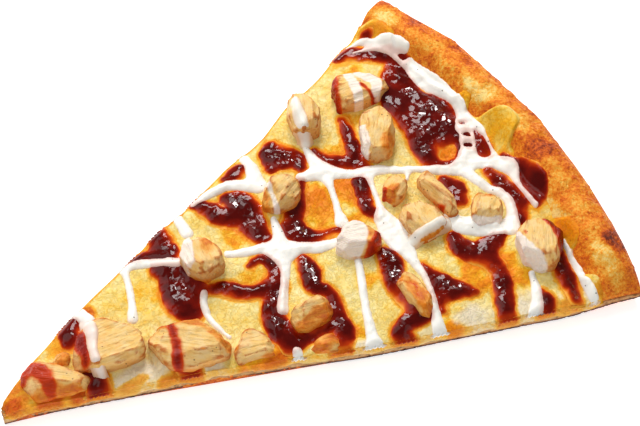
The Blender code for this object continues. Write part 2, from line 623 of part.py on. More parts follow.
def main():
    clear_scene()
    slice_parts = new_collection("pizza_slice")
    crust_finish = material("crust", (0.72, 0.36, 0.10), 0.7)
    cheese_finish = material("cheese", (0.90, 0.68, 0.26), 0.35)
    chicken_finish = material("chicken", (0.86, 0.60, 0.32), 0.5)
    crust = build_crust(slice_parts, crust_finish)
    cutters = new_collection("cutters")
    chicken = build_chicken(slice_parts, cutters, chicken_finish)
    cheese = build_cheese(slice_parts, cutters, cheese_finish)
    centre_on_base([crust, cheese, *chicken])


main()
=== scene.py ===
"""The look of a barbecue chicken pizza slice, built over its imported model.

Everything is laid out in plan in millimetres from the pizza's centre, where the slice's point is,
with +X towards the rim. place() moves it to the model's frame, in metres.
"""

import math  # noqa: E402

import bmesh  # noqa: E402
import bpy  # noqa: E402
import numpy as np  # noqa: E402
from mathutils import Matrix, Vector, noise  # noqa: E402
from mathutils.bvhtree import BVHTree  # noqa: E402


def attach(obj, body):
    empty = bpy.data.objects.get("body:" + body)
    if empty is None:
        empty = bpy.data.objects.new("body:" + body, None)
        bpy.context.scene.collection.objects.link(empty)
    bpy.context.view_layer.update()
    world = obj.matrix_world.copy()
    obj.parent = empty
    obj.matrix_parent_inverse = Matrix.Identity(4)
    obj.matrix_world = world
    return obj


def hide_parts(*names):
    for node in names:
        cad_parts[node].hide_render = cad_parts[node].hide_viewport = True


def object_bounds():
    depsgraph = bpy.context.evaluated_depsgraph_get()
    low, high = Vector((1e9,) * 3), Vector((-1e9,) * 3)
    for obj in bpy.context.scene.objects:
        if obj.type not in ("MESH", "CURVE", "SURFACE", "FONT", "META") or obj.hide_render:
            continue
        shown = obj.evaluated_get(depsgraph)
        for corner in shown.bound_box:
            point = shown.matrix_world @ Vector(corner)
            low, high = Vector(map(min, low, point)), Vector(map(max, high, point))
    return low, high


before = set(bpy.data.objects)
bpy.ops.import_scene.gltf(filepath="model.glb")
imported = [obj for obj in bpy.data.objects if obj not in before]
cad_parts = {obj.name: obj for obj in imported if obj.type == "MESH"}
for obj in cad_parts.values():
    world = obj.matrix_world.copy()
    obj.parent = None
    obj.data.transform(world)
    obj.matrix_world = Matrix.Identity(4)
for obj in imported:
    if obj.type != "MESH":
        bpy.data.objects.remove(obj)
CAD_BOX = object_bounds()

MM = 0.001

# The slice and its dough, as in the solid model
PIZZA_RADIUS = 178.8
HALF_ANGLE = math.radians(21)
POINT_RADIUS = 2.0
BED_THICKNESS = 3.2
RIM_WIDTH = 19.0
RIM_HEIGHT = 12.8
RIM_CREST = 8.5
RIM_LIFT = 3.0
RIM_CURL = 7.0
RIM_SIDE = 4.4
NEAR_PINCH = 0.62
FAR_PINCH = 0.08
PINCH_REACH = 5.5
CORNER_LIFT = 2.2
CORNER_WIDTH = 24.0
RIM_SWELL = 1.1
RIM_CRAGS = 0.5
POINT_TAPER = 26.0
POINT_SHARE = 1.1
NEAR, FAR = -1, 1
CUT_LINES = {
    NEAR: (
        (0, 1.3), (9, 0.3), (30, 0), (56, -0.4), (76, 0), (103, 0.8), (130, 0.2), (152, -0.2),
        (178, -1.2),
    ),
    FAR: (
        (0, 0.3), (11, 1.5), (20, 2.3), (34, 2.6), (68, 2.1), (81, 0.5), (97, 0.2), (115, -1.3),
        (130, 0), (143, -1.2), (155, -0.3), (179, -0.2),
    ),
}
CHEESE_THICKNESS = 2.9
CHEESE_RADIUS = 165.0
CHEESE_EDGE = 0.9
CHEESE_TAPER = 7.0
CHEESE_LUMP = 0.8
GAP = 0.3
CHEESE_TONGUES = (
    (1.1, 8.0, 5.6),
    (6.2, 3.0, 2.5),
    (-13.2, 3.0, 5.0),
    (-20.0, 3.0, 5.0),
    (18.5, 4.0, 6.0),
)
CHEESE_KEEL = 2.0  # height of the cheese sheet's hidden underside, inside the dough

# The working grid over the slice
PITCH = 0.4
GRID_LOW = (-2.0, -70.0)
GRID_CELLS = (460, 350)
GRID_X, GRID_Y = np.meshgrid(
    *(low + PITCH * np.arange(count) for low, count in zip(GRID_LOW, GRID_CELLS)), indexing="ij"
)

# Sauce strands: the route of each, as (x, y, width)
BARBECUE_STRANDS = {
    "point_spot": ((30, 15.5, 4.5), (28.3, 11.5, 6.5), (27, 7.5, 5)),
    "point_pool": ((25.5, -3.5, 2), (28, -6, 4), (26, -9.5, 6), (24, -12.5, 7)),
    "left_edge": ((65, 28.5, 4.5), (64, 24, 6), (63.4, 18.5, 6)),
    "left_hook": ((51.5, 23, 2), (56, 22.3, 3), (60, 20.2, 3), (63.5, 18, 4)),
    "left_pool": ((59.3, 15.5, 6), (61.5, 11.2, 9.5), (60.5, 6.2, 11.5), (58.2, 2, 8.5), (58.8, -2, 6)),
    "left_run": ((48.8, -13.5, 4.5), (49.2, -17.5, 5.5), (49, -22, 5)),
    "swan_neck": ((66, 2.5, 2), (70, 0.5, 4), (73, -3, 4.5), (77, -5.5, 4), (82, -7, 5)),
    "swan_loop": ((80.5, 2.5, 1.5), (84, 3.2, 2.5), (86, 1, 3.5), (85.5, -3, 4), (83, -7, 5)),
    "swan_body": ((83, -7, 5), (80, -11, 5.5), (77.5, -15, 6), (76.5, -20, 7), (76.5, -25, 6)),
    "swan_foot": ((79, -26, 3), (88.5, -26.5, 4), (91, -28.5, 6), (89, -32, 5), (85.5, -35.5, 5)),
    "middle_run": ((94.5, -4, 4.5), (93.5, -8.5, 5.5), (92, -12.5, 4.5), (94.7, -17, 3), (92.5, -24, 4)),
    "upper_slash": ((78.5, 29.5, 3), (80.5, 26, 5), (82.5, 22, 6), (86, 19.5, 7)),
    "upper_pool": ((87.5, 26, 4), (89.5, 22.5, 8), (89, 18, 9), (88.5, 13, 7), (88.5, 8.5, 4.5)),
    "upper_spot": ((90.5, 32, 2.5), (93.5, 32.5, 4.5), (96, 33.5, 3)),
    "upper_kite": ((108, 35, 5), (107.5, 31.5, 9), (111, 27.5, 6), (111, 23.5, 2.5)),
    "kite_corner": ((107, 31, 7), (103.5, 28.5, 3)),
    "centre_bow": (
        (108.5, 20, 2), (102.5, 12.5, 4), (98.5, 9, 6), (98, 4.5, 6.5), (102, 1.2, 4.5),
        (108, -0.3, 2),
    ),
    "valley_left": ((117.5, 27, 2), (119, 22, 4), (122.5, 18.5, 4.5), (126.5, 15, 4)),
    "valley_right": ((131, 32, 3), (129.3, 27, 3.5), (127.3, 21.5, 4.5), (126.5, 17, 4)),
    "centre_drop": ((122.5, 10, 5), (120.8, 5.5, 4), (119.3, 1, 4.2), (120.5, -2.5, 3)),
    "lower_run": ((114.5, -15, 5), (114, -19, 6.5), (110.5, -24, 3.5), (110.3, -30, 3), (110.8, -34, 3)),
    "lower_foot": ((112.5, -37.5, 4), (108, -36.5, 5), (104, -38, 5), (103.5, -43, 6)),
    "lower_comma": (
        (121.4, -23.3, 1.5), (121.5, -28, 4), (122.5, -32.8, 6.5), (126, -36.5, 4.5),
        (128.5, -38.5, 2),
    ),
    "top_sweep": (
        (142.6, 53, 2.5), (146.7, 53, 4.6), (150.3, 50.6, 5.4), (153.6, 47.6, 4.8),
        (156.2, 44.2, 4.6), (155.4, 40.5, 5.5), (154, 36.6, 7),
    ),
    "top_trunk": ((153.4, 37, 8), (151.2, 32, 12.5), (150.8, 26, 14), (152.4, 20, 17.5), (151.4, 16, 16.5)),
    "trunk_ring": (
        (155.5, 11, 6), (156.3, 7, 3.6), (154.6, 3.3, 2.8), (150.5, 1.4, 2.6), (146.3, 2.6, 3.4),
        (144.4, 6.5, 5.5), (146, 11.5, 8),
    ),
    "rim_wedge": ((161.3, 7.6, 1.6), (160.7, 4, 3.4), (159.6, 0.6, 5), (159.3, -1.2, 4)),
    "rim_leaf": (
        (162.6, -4.5, 1.2), (164.2, -10, 2.4), (164.2, -14, 5), (163.6, -18, 6.2),
        (162.6, -21.5, 5), (161.2, -24, 2),
    ),
    "inner_slot": (
        (156.5, -6.8, 3.4), (157, -11.5, 5), (157.6, -16.5, 5), (156.6, -20.5, 5),
        (154, -25.5, 3.4),
    ),
    "inner_drop": ((143.5, -2, 3), (144.5, -6, 5.5), (143, -11, 4)),
    "cross_bar": ((134, -20.5, 4), (134, -24.5, 6), (137, -28.5, 6.5), (142, -27.5, 5.5), (146, -27, 2.5)),
    "long_run": ((137.5, -29, 6), (138.4, -34, 5), (136.6, -40, 5.2), (133, -46.3, 4.6), (129.6, -53, 4.6)),
    "corner_run": ((155, -40.5, 4), (153.6, -45.4, 4.6), (152, -50.5, 4.4), (150.3, -55.5, 3.4)),
    "edge_smear": ((144, -48.5, 2), (143.3, -51.8, 4), (140.8, -55.5, 4.5)),
    "rim_fleck": ((157.1, 46.3, 1.6), (158.6, 43.2, 2.2), (159.4, 40.4, 2)),
    "corner_fleck": ((155, 54.9, 2.6), (154.2, 55.6, 2)),
    "ladder_back": ((160.5, 12, 2), (158, 8, 4), (156, 4, 4)),
    "comma_tail": ((119.8, -33.5, 4.5), (117.4, -38.5, 1.8)),
    "left_bank": ((64.5, 11.5, 4), (65, 5, 4)),
}
WHITE_STRANDS = {
    "rim_start": ((156.7, 50.1, 2.4), (158, 48.2, 3.6), (159.6, 45.8, 4), (160.9, 43.4, 2.6)),
    "far_thread": ((147.8, 55.4, 0.9), (152.2, 55.1, 1.8), (154.5, 52.3, 1.8), (156.6, 50.1, 2.4)),
    "rim_sweep": (
        (159.4, 38.8, 3.3), (159.6, 34.6, 5.1), (160.6, 29.8, 5.3), (162.1, 24.2, 3.8), (162.7, 19.2, 2.9),
        (162, 15.2, 3.5), (161.1, 12.2, 4.2),
    ),
    "ladder_left": ((159.4, 12.5, 1.6), (157.4, 8.9, 1), (156, 6, 1), (154.3, 2.5, 2)),
    "ladder_right": ((161.4, 10, 1.6), (161.2, 8.6, 1.1), (159.3, 4.9, 1.1), (156.7, 1, 1.4)),
    "rung_upper": ((158.1, 10.5, 2.2), (161, 9.3, 2)),
    "rung_middle": ((156.6, 6.3, 1.6), (159.4, 5.2, 1.6)),
    "rung_lower": ((154, 2.6, 2.4), (156.8, 1, 2.4)),
    "rim_turn": (
        (152, -0.5, 3), (155.5, -2.8, 4), (159.5, -5, 4.6), (162, -8.5, 4.4), (161.8, -11.5, 3),
        (160.6, -15, 1.6), (160.2, -24, 1.3),
    ),
    "rim_end": ((158.8, -38.5, 1.1), (157.4, -45, 1.6), (156, -51.5, 2.1), (155, -57.5, 2.8)),
    "upper_left": ((78, 29.7, 2), (84, 30.3, 3), (89.5, 29.8, 3.2), (94, 26.8, 4), (97, 24.5, 4)),
    "upper_cross": ((99, 36, 3), (98.8, 31.5, 4), (97, 26, 5)),
    "upper_right": (
        (109, 21, 3), (112.5, 20, 4), (116, 19, 5), (119.5, 15.8, 3.5), (124, 12.8, 3.2), (129, 11.2, 3.8),
        (133.5, 8.5, 2.4),
    ),
    "upper_spur": ((115.5, 19, 4), (115.5, 24, 3.5), (116, 29.5, 1.8)),
    "centre_spur": ((125.8, 11, 2.2), (124.3, 6, 1.6), (122.8, 1, 1.7), (121, -4, 3)),
    "right_bridge": ((133.3, 8.2, 1.6), (138, 6, 2), (143, 2.5, 3.2), (148.5, -0.8, 3.5), (153.5, 0.5, 4)),
    "right_loop": (
        (150, -1, 4), (151, -6, 3.2), (152.3, -11, 3), (154.7, -16, 2.8), (153.8, -21, 3),
        (149.5, -27, 4),
    ),
    "right_pool": ((137, -14, 3.5), (138.5, -18, 6), (142.5, -21.5, 6), (147, -24.5, 5.5), (150, -26, 4)),
    "long_stem": (
        (121, -4, 5), (120.9, -8.5, 7.5), (120.6, -13, 7.5), (120.4, -17.5, 4.6), (119.8, -22, 2.6),
        (119.5, -27, 1.8), (118, -32, 1.8), (116, -37, 2.2), (113.7, -41.5, 3.6), (112.3, -46, 4.8),
    ),
    "centre_left": (
        (77.5, 9.5, 2.5), (82, 7.2, 3), (87, 5.6, 3.6), (90.8, 2, 7), (96, 0.3, 3.6),
        (101, -2.5, 3.8), (106, -4, 3),
    ),
    "centre_up": ((94.5, 12.5, 2), (93.3, 8.5, 3), (91.3, 4, 4)),
    "centre_down": ((90, 1, 5), (88, -4, 3), (85.3, -8, 2.4), (82.3, -12, 3), (80.3, -15, 3.2)),
    "left_slash": ((50, 22, 2.2), (55, 20.3, 2.8), (60, 17, 3), (63.8, 14.2, 3.2)),
    "left_stem": ((50.4, 20.8, 1.8), (49, 15.5, 2), (46.8, 9.8, 2.2), (44.5, 5, 3)),
    "point_cap": ((32.4, 16.5, 4.2), (33.8, 11, 4)),
    "left_cap": ((71.8, 27.8, 3), (71.5, 22, 3.6)),
    "lower_stem": (
        (106.8, -12.5, 2), (104.5, -17.5, 2.3), (101, -24.5, 2.3), (98.5, -30, 2.6),
        (96.5, -35, 3.6), (95, -39, 6),
    ),
    "amber_stem": ((115.3, 17, 2.5), (113.8, 11, 1.8), (111.8, 5.5, 2.2), (110.5, 1.5, 4)),
    "edge_drop": ((76.8, -28, 2.8), (75.5, -31.5, 2.6)),
    "edge_stem": (
        (145.3, -42, 1.8), (143.6, -46, 2.6), (141, -50, 3.4), (138, -53.5, 4.4), (135.5, -58, 5.5),
    ),
    "rim_thread": (
        (147.9, 52.2, 0.6), (152.7, 51.1, 1.7), (155.4, 48.2, 1.4), (156.7, 45.4, 1.1),
        (157.4, 42.6, 1), (158.2, 40, 1),
    ),
    "rim_bight": (
        (162, 11.2, 1.6), (163, 6.9, 1.5), (162.5, 4.1, 1.5), (161.8, 0.5, 1.2), (161.1, -2.6, 1.6),
    ),
    "left_thread": ((65.3, 2, 2), (63.3, -1.5, 2.2), (62.5, -6, 1.8), (63.1, -11, 1.4), (63.9, -14, 1.2)),
    "pool_thread": ((136.8, 6.4, 0.9), (134.5, 3.6, 0.9)),
}
# Where dark sauce shows through between the white strands
WHITE_GAPS = {
    "ladder_top": ((159.6, 12.3, 0.7), (160.4, 11.7, 0.7)),
    "ladder_middle": ((157.8, 7.9, 0.9), (159.1, 7, 0.9)),
    "ladder_foot": ((155.9, 4.6, 1.1), (157.2, 3.8, 1.1)),
    "wedge": ((161.4, 7.2, 1), (160.8, 4.2, 2.6), (159.8, 1.4, 3.8), (159.1, -0.4, 4)),
}
# Thin dark sauce, amber glaze and white films that are only a colour on the chicken
SAUCE_FILMS = {
    "point_dome": ((9.5, 3.4, 5), (13.4, 4, 7), (15.4, 1, 7), (14.8, -3.5, 6)),
    "slab_dab": ((26.6, -2.5, 4), (27.8, 1.4, 5.4), (28.6, 5.5, 5.4)),
    "long_stripe": ((51.4, -3, 3.4), (49.6, -10.5, 3.8), (47.2, -15.5, 4.8)),
    "round_foot": ((99, 10.5, 3), (103.5, 12, 3), (106.5, 15.5, 2)),
    "strip_side": ((130.5, 33, 3.5), (132, 38.5, 4.5), (134.8, 44.5, 4.5)),
    "strip_gap": ((140.8, 37.5, 2.2), (142, 31.5, 3)),
    "veiled_foot": ((108.6, -14.5, 3.5), (113.4, -11.6, 4), (116, -9.2, 3.5)),
    "curl_gap": ((134.8, -7.5, 2), (136.2, -11.5, 2)),
    "glazed_left": ((122.8, -0.5, 3.4), (125.4, 2, 3)),
    "slim_thread": ((111.5, -24.5, 1.4), (114.5, -29, 1.8), (113, -33, 1.2), (115.5, -37.5, 1.4)),
    "block_side": ((157.8, -30.2, 4.4), (158.2, -35, 5.6), (157.6, -39, 5.4), (155.3, -42.5, 3.6)),
    "block_spot": ((149.6, -32.4, 1.6), (149.2, -33.2, 1.8)),
}
AMBER_FILMS = {
    "point": ((10, -4, 6), (17, -6, 6), (22, -8, 3)),
    "stray": ((20, 3, 4), (22.5, 3.5, 4)),
    "slab_edge": ((34.5, 9.4, 2.8), (40.2, 5, 2.2), (44.6, 0.4, 2)),
    "round_top": ((71.6, 10.6, 5), (73, 12, 5)),
    "long_top": ((48, -3.5, 3), (54, -4.5, 5), (58, -10, 2.5), (59.4, -14, 3.4), (61.8, -17.8, 4.6)),
    "fan_edge": ((61, -24, 2.5), (67.5, -25.6, 3.5), (73.8, -26, 4.5)),
    "round_left": ((93, 14.5, 4.5), (94.8, 18.5, 4.5)),
    "oval_spot": ((134.4, 14.2, 5), (136.6, 16.6, 4.6)),
    "veiled_right": ((112.5, -9.5, 3), (116, -6, 4)),
    "glazed": ((124, -0.5, 6), (127.5, 1, 4)),
    "slab_lip": ((124, -18, 3), (134, -18, 3)),
    "square_top": ((146, -13.5, 1.6), (151.5, -17.5, 1.6)),
    "band": ((80, -24.4, 5), (86, -23.8, 5.5), (91.5, -22.6, 5)),
    "low_piece": ((79, -30, 5), (83, -30, 5), (88, -31, 5)),
    "slim_piece": ((113, -24, 3), (114, -30, 5), (113.5, -37, 5)),
}
WHITE_VEILS = {
    "strip_left": ((136.8, 32.3, 3), (138.6, 37.3, 3.6), (139.6, 43, 3.4)),
    "strip_right": ((143.4, 33, 3), (145.4, 37, 4.4), (142.5, 41.5, 3)),
    "oval_corner": ((128, 16, 3), (129.6, 19, 4), (131.5, 23, 3)),
    "round_streak": ((98, 22, 1.8), (97.2, 18, 1.8), (96, 13, 1.8)),
    "veiled_piece": ((104, -8, 6), (108, -7.5, 9), (111.5, -3.5, 6)),
    "left_piece": ((65.5, 9, 3), (66.3, 13, 4.5), (68.5, 18, 4)),
    "block_left": ((146.6, -31, 3.5), (146.3, -37, 4.5), (147.5, -43.5, 3.5)),
    "square_foot": ((141, -20.5, 4), (146.5, -24, 4), (149, -24, 3)),
}
# White sauce thick enough to stand up on the chicken
WHITE_OVER = {
    "slab_stripe": ((32.8, 10.5, 3.8), (32, 4.6, 3.4), (30, 0, 2.4), (28.8, -4, 2.4), (28.8, -6.6, 2)),
    "pale_streak": ((119.8, 41, 2.6), (118, 35, 3.6), (116.8, 30.5, 3)),
    "slab_band": ((121.6, -15, 3.4), (127.5, -15.9, 2.4), (134.8, -15.8, 3.2)),
}
# Where the dark sauce is wrinkled and catches the light
WRINKLES = {
    "point": ((13.5, 3.5, 3), (14.5, 1.5, 3)),
    "spot": ((28, -4, 1.2), (29.2, -6, 2)),
    "edge": ((64.3, 22, 1.5), (63.2, 20, 1.5)),
    "left": ((61.3, 13, 2), (61.3, 9.5, 3), (60.5, 6.5, 3.4)),
    "neck": ((69, 2.5, 2), (70.5, 0.5, 2)),
    "body": ((81, -9, 1.6), (78.5, -14, 2), (77, -20, 2.4)),
    "loop": ((85.5, 2, 1.5), (86.4, -1, 1.5)),
    "middle": ((94, -6, 1.6), (93, -12, 1.6)),
    "upper": ((88.5, 24.5, 2.6), (89.5, 20, 3.6), (89, 15, 2.4)),
    "kite": ((107.5, 32, 3), (110.5, 28, 2.2)),
    "bow": ((99.5, 8, 1.8), (99, 4, 2)),
    "drop": ((122.3, 9.5, 1.8), (120.8, 5, 1.6)),
    "run": ((113, -16, 4), (114.5, -20, 4), (112, -24, 2.5)),
    "foot": ((107, -37.5, 2), (104.5, -40, 2)),
    "comma": ((121.5, -32, 2.2), (124.5, -34.5, 2), (127.3, -37, 1.8)),
    "sweep": ((147.5, 49.3, 1.2), (154.6, 41, 1.5)),
    "trunk": ((153, 30.8, 2.2), (154, 30.8, 2.2)),
    "trunk_upper": ((152, 22, 3.4), (155.5, 21, 4), (156.5, 19, 2)),
    "trunk_lower": ((145, 10, 2.4), (150.5, 10.6, 2.4), (155.5, 14, 2.6), (157.5, 17, 2)),
    "trunk_left": ((145.5, 13.5, 1.2), (147.6, 17, 1.2), (149.5, 13.5, 1.2)),
    "slot": ((157.3, -7, 1.2), (157.6, -13, 1.5), (157.8, -18.5, 1.5)),
    "bar": ((136.8, -21.5, 2.4), (136.2, -25.5, 2.8)),
    "bar_end": ((141.5, -27.5, 1.5), (143.5, -29, 1.5)),
    "long": ((137.5, -34.5, 2), (136.6, -38.5, 2.4), (134.8, -42.5, 1.6)),
    "corner": ((153.6, -44, 1), (152.5, -49, 1.1), (151, -54.5, 1.6)),
    "smear": ((142.5, -49.5, 2.4), (141.8, -51, 2.6)),
}


# ---------------------------------------------------------------- numbers, noise and fields


def blend(low, high, share):
    return low + (high - low) * share


def smooth(share):
    share = np.clip(share, 0, 1)
    return share * share * (3 - 2 * share)


def ripple(x, y, size, layer):
    """The solid model's wander, from about -1 to 1, at many points."""
    flat = [noise.noise((a / size, b / size, layer)) for a, b in zip(np.ravel(x), np.ravel(y))]
    return np.array(flat).reshape(np.shape(x))


def wander(x, y, size, seed, octaves=1):
    """Gradient noise from about -1 to 1, with features of the given size in millimetres."""
    table = np.random.RandomState(seed).permutation(256)
    total, weight, share = 0.0, 0.0, 1.0
    for octave in range(octaves):
        scale = 2.0**octave / size
        total = total + share * lattice(x * scale + 37.3 * octave, y * scale - 11.9 * octave, table)
        weight += share
        share *= 0.5
    return total / weight


def lattice(x, y, table):
    angle = table * (math.tau / 256)
    column, row = np.floor(x).astype(int), np.floor(y).astype(int)
    u, v = x - column, y - row

    def corner(right, up):
        turn = angle[(table[(column + right) & 255] + row + up) & 255]
        return np.cos(turn) * (u - right) + np.sin(turn) * (v - up)

    def ease(t):
        return t * t * t * (t * (t * 6 - 15) + 10)

    low = blend(corner(0, 0), corner(1, 0), ease(u))
    high = blend(corner(0, 1), corner(1, 1), ease(u))
    return 1.5 * blend(low, high, ease(v))


def grid_wander(size, seed, octaves=1):
    return wander(GRID_X, GRID_Y, size, seed, octaves)


def grain3(points, size, layer=0.0):
    """The same kind of noise in three dimensions, for an (n, 3) array in millimetres."""
    return np.array([noise.noise((x / size + layer, y / size, z / size)) for x, y, z in points])


def sample(field, x, y):
    """A working-grid field read between its points."""
    u = np.clip((x - GRID_LOW[0]) / PITCH, 0, GRID_CELLS[0] - 1.001)
    v = np.clip((y - GRID_LOW[1]) / PITCH, 0, GRID_CELLS[1] - 1.001)
    i, j = u.astype(int), v.astype(int)
    u, v = u - i, v - j
    low = blend(field[i, j], field[i + 1, j], u)
    return blend(low, blend(field[i, j + 1], field[i + 1, j + 1], u), v)


def blur(field, reach):
    """Softens a field over a reach in millimetres."""
    span = int(3 * reach / PITCH) + 1
    kernel = np.exp(-0.5 * (np.arange(-span, span + 1) * PITCH / reach) ** 2)
    kernel /= kernel.sum()
    padded = np.pad(field, span, mode="edge")
    for axis in (0, 1):
        padded = np.apply_along_axis(lambda line: np.convolve(line, kernel, "same"), axis, padded)
    return padded[span:-span, span:-span]


def patches(x, y, spots, seed, ragged=0.35, soft=0.6):
    """The strongest of several soft-edged spots: (x, y, half length, half width, strength)."""
    wobble = ragged * wander(x, y, 4.0, seed, 2)
    total = np.zeros(np.shape(x))
    for centre_x, centre_y, along, across, strength in spots:
        away = np.hypot((x - centre_x) / along, (y - centre_y) / across) + wobble
        total = np.maximum(total, strength * smooth((0.95 + soft / 2 - away) / soft))
    return total


# ---------------------------------------------------------------- the slice's own shape


def cut_shift(along, side):
    """How far a cut side stands out from a straight one, at a distance from the pizza's centre."""
    knots = np.array(CUT_LINES[side])
    low = np.clip(np.searchsorted(knots[:, 0], along) - 1, 0, len(knots) - 2)
    share = smooth((along - knots[low, 0]) / (knots[low + 1, 0] - knots[low, 0]))
    return blend(knots[low, 1], knots[low + 1, 1], share)


def in_plan(radius, turn, inset=0.0):
    """Plan point at a radius, and a turn from -1 at the near cut side to 1 at the far one."""
    shift = np.where(turn > 0, cut_shift(radius, FAR), cut_shift(radius, NEAR))
    bearing = turn * (HALF_ANGLE + (shift - inset) / radius)
    return radius * np.cos(bearing), radius * np.sin(bearing)


def to_side(x, y, side):
    inward = x * math.sin(HALF_ANGLE) - side * y * math.cos(HALF_ANGLE)
    return inward + cut_shift(np.hypot(x, y), side)


def to_cut(x, y):
    """Distance from a plan point to the nearer cut side."""
    return np.minimum(to_side(x, y, NEAR), to_side(x, y, FAR))


def beside(x, y, side):
    """From 1 at a cut side to 0 well away from it."""
    return np.exp(-np.maximum(0, to_side(x, y, side)) / PINCH_REACH)


def outer_radius(bearing):
    return PIZZA_RADIUS + RIM_SWELL * ripple(bearing * 7, np.zeros_like(bearing), 1, 4.2)


def rim_crest(x, y):
    pressed = (1 - NEAR_PINCH * beside(x, y, NEAR)) * (1 - FAR_PINCH * beside(x, y, FAR))
    swell = RIM_SWELL * ripple(x, y, 16, 1.7) + RIM_CRAGS * ripple(x, y, 6, 3.9)
    return (RIM_HEIGHT + swell) * pressed, RIM_LIFT + RIM_SIDE * pressed


def dough_top(x, y):
    radius = np.hypot(x, y)
    inward = outer_radius(np.arctan2(y, x)) - radius
    crest, side = rim_crest(x, y)
    share = np.clip(inward / RIM_CREST, 0, 1)
    outer = blend(side, crest, np.sqrt(1 - (1 - share) ** 2))
    bed = BED_THICKNESS * blend(POINT_SHARE, 1, smooth(radius / POINT_TAPER))
    inner = blend(crest, bed, smooth((inward - RIM_CREST) / (RIM_WIDTH - RIM_CREST)))
    return np.where(inward < RIM_CREST, outer, inner)


def dough_bottom(x, y):
    inward = outer_radius(np.arctan2(y, x)) - np.hypot(x, y)
    curl = RIM_LIFT * np.maximum(0, 1 - inward / RIM_CURL) ** 2
    return np.maximum(curl, CORNER_LIFT * beside(x, y, NEAR) * smooth(1 - inward / CORNER_WIDTH))


def cheese_radius(bearing):
    radius = CHEESE_RADIUS + 1.8 * ripple(bearing * 16, np.zeros_like(bearing), 1, 8.1)
    for centre, reach, half_width in CHEESE_TONGUES:
        across = (bearing - math.radians(centre)) * CHEESE_RADIUS / half_width
        radius = radius + reach * np.exp(-(across**4))
    return radius


def cheese_thickness(x, y):
    radius = np.hypot(x, y)
    full = CHEESE_THICKNESS + CHEESE_LUMP * ripple(x, y, 15, 2.3)
    full -= 0.6 * np.exp(-np.maximum(0, to_cut(x, y)) / 2.5)
    rise = smooth((CHEESE_RADIUS - radius) / CHEESE_TAPER) * smooth(0.35 + radius / POINT_TAPER)
    return blend(CHEESE_EDGE, full, rise)


def spline(route):
    """Closely spaced points (x, y, half width) along a strand's route."""
    points = np.array(route, float)
    points[:, 2] /= 2
    ends = np.vstack([2 * points[0] - points[1], points, 2 * points[-1] - points[-2]])
    ends[[0, -1], 2] = points[[0, -1], 2]
    run = []
    for a, b, c, d in zip(ends, ends[1:], ends[2:], ends[3:]):
        steps = max(2, int(np.hypot(*(c - b)[:2]) / 0.8))
        for t in np.arange(steps) / steps:
            run.append(
                0.5 * (2 * b + (c - a) * t + (2 * a - 5 * b + 4 * c - d) * t**2
                       + (3 * b - a - 3 * c + d) * t**3)
            )
    run.append(points[-1])
    return np.array(run)


def strand_field(strands, fillet):
    """Distance over the grid to the strands' edge, negative inside, with fillets where they meet."""
    reach = 5.0
    total = np.zeros(GRID_X.shape)
    for route in strands.values():
        run = spline(route)
        one = np.full(GRID_X.shape, reach)
        for (x0, y0, r0), (x1, y1, r1) in zip(run, run[1:]):
            margin = reach + max(r0, r1, 0)
            window = tuple(
                slice(max(0, int((min(ends) - margin - low) / PITCH)),
                      max(0, int((max(ends) + margin - low) / PITCH) + 2))
                for ends, low in zip(((x0, x1), (y0, y1)), GRID_LOW)
            )
            px, py = GRID_X[window] - x0, GRID_Y[window] - y0
            dx, dy = x1 - x0, y1 - y0
            t = np.clip((px * dx + py * dy) / (dx * dx + dy * dy + 1e-9), 0, 1)
            gap = np.hypot(px - t * dx, py - t * dy) - blend(r0, r1, t)
            one[window] = np.minimum(one[window], gap)
        total += np.exp(-one / fillet) - math.exp(-reach / fillet)
    return -fillet * np.log(total + math.exp(-reach / fillet))


def ragged_field(strands, fillet, amount, seed):
    return strand_field(strands, fillet) + amount * grid_wander(2.8, seed, 2)


# ---------------------------------------------------------------- meshes


def find_shift():
    """Where the plan's origin lies in the model's frame, from the crust's corner at the point."""
    corners = np.array([v.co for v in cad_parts["crust"].data.vertices])
    found = corners[corners[:, 0].argmin()]
    x, y = in_plan(POINT_RADIUS, NEAR)
    return np.array([found[0] - float(x) * MM, found[1] - float(y) * MM, 0])


SHIFT = find_shift()


def place(points):
    return np.asarray(points) * MM + SHIFT


def to_plan(points):
    return (np.asarray(points) - SHIFT) / MM


def add_piece(name, points, faces, material, replaces=(), fields=None):
    """A shaded mesh that rides on the slice, from plan points in millimetres."""
    mesh = bpy.data.meshes.new(name)
    placed = np.clip(place(points), CAD_BOX[0], CAD_BOX[1])
    mesh.from_pydata(placed.tolist(), [], [list(map(int, face)) for face in faces])
    mesh.validate()
    for field, values in (fields or {}).items():
        values = np.asarray(values, np.float32)
        if values.ndim == 2:
            mesh.attributes.new(field, "FLOAT_VECTOR", "POINT").data.foreach_set("vector", values.ravel())
        else:
            mesh.attributes.new(field, "FLOAT", "POINT").data.foreach_set("value", values)
    shape = bmesh.new()
    shape.from_mesh(mesh)
    bmesh.ops.recalc_face_normals(shape, faces=shape.faces)
    shape.to_mesh(mesh)
    shape.free()
    mesh.shade_smooth()
    piece = bpy.data.objects.new(name, mesh)
    bpy.context.scene.collection.objects.link(piece)
    mesh.materials.append(material)
    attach(piece, "root")
    if replaces:
        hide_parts(*replaces)


def grid_faces(rows, columns, wrap=False):
    """Quads over rows by columns of vertices, with the last column joined to the first if wrapped."""
    index = np.arange(rows * columns).reshape(rows, columns)
    if wrap:
        index = np.hstack([index, index[:, :1]])
    return np.stack([index[:-1, :-1], index[1:, :-1], index[1:, 1:], index[:-1, 1:]], -1).reshape(-1, 4)


def tube_faces(rows, columns):
    """A wrapped grid with both its ends closed."""
    first = list(range(columns))
    last = [i + (rows - 1) * columns for i in reversed(first)]
    return [*grid_faces(rows, columns, wrap=True), first, last]


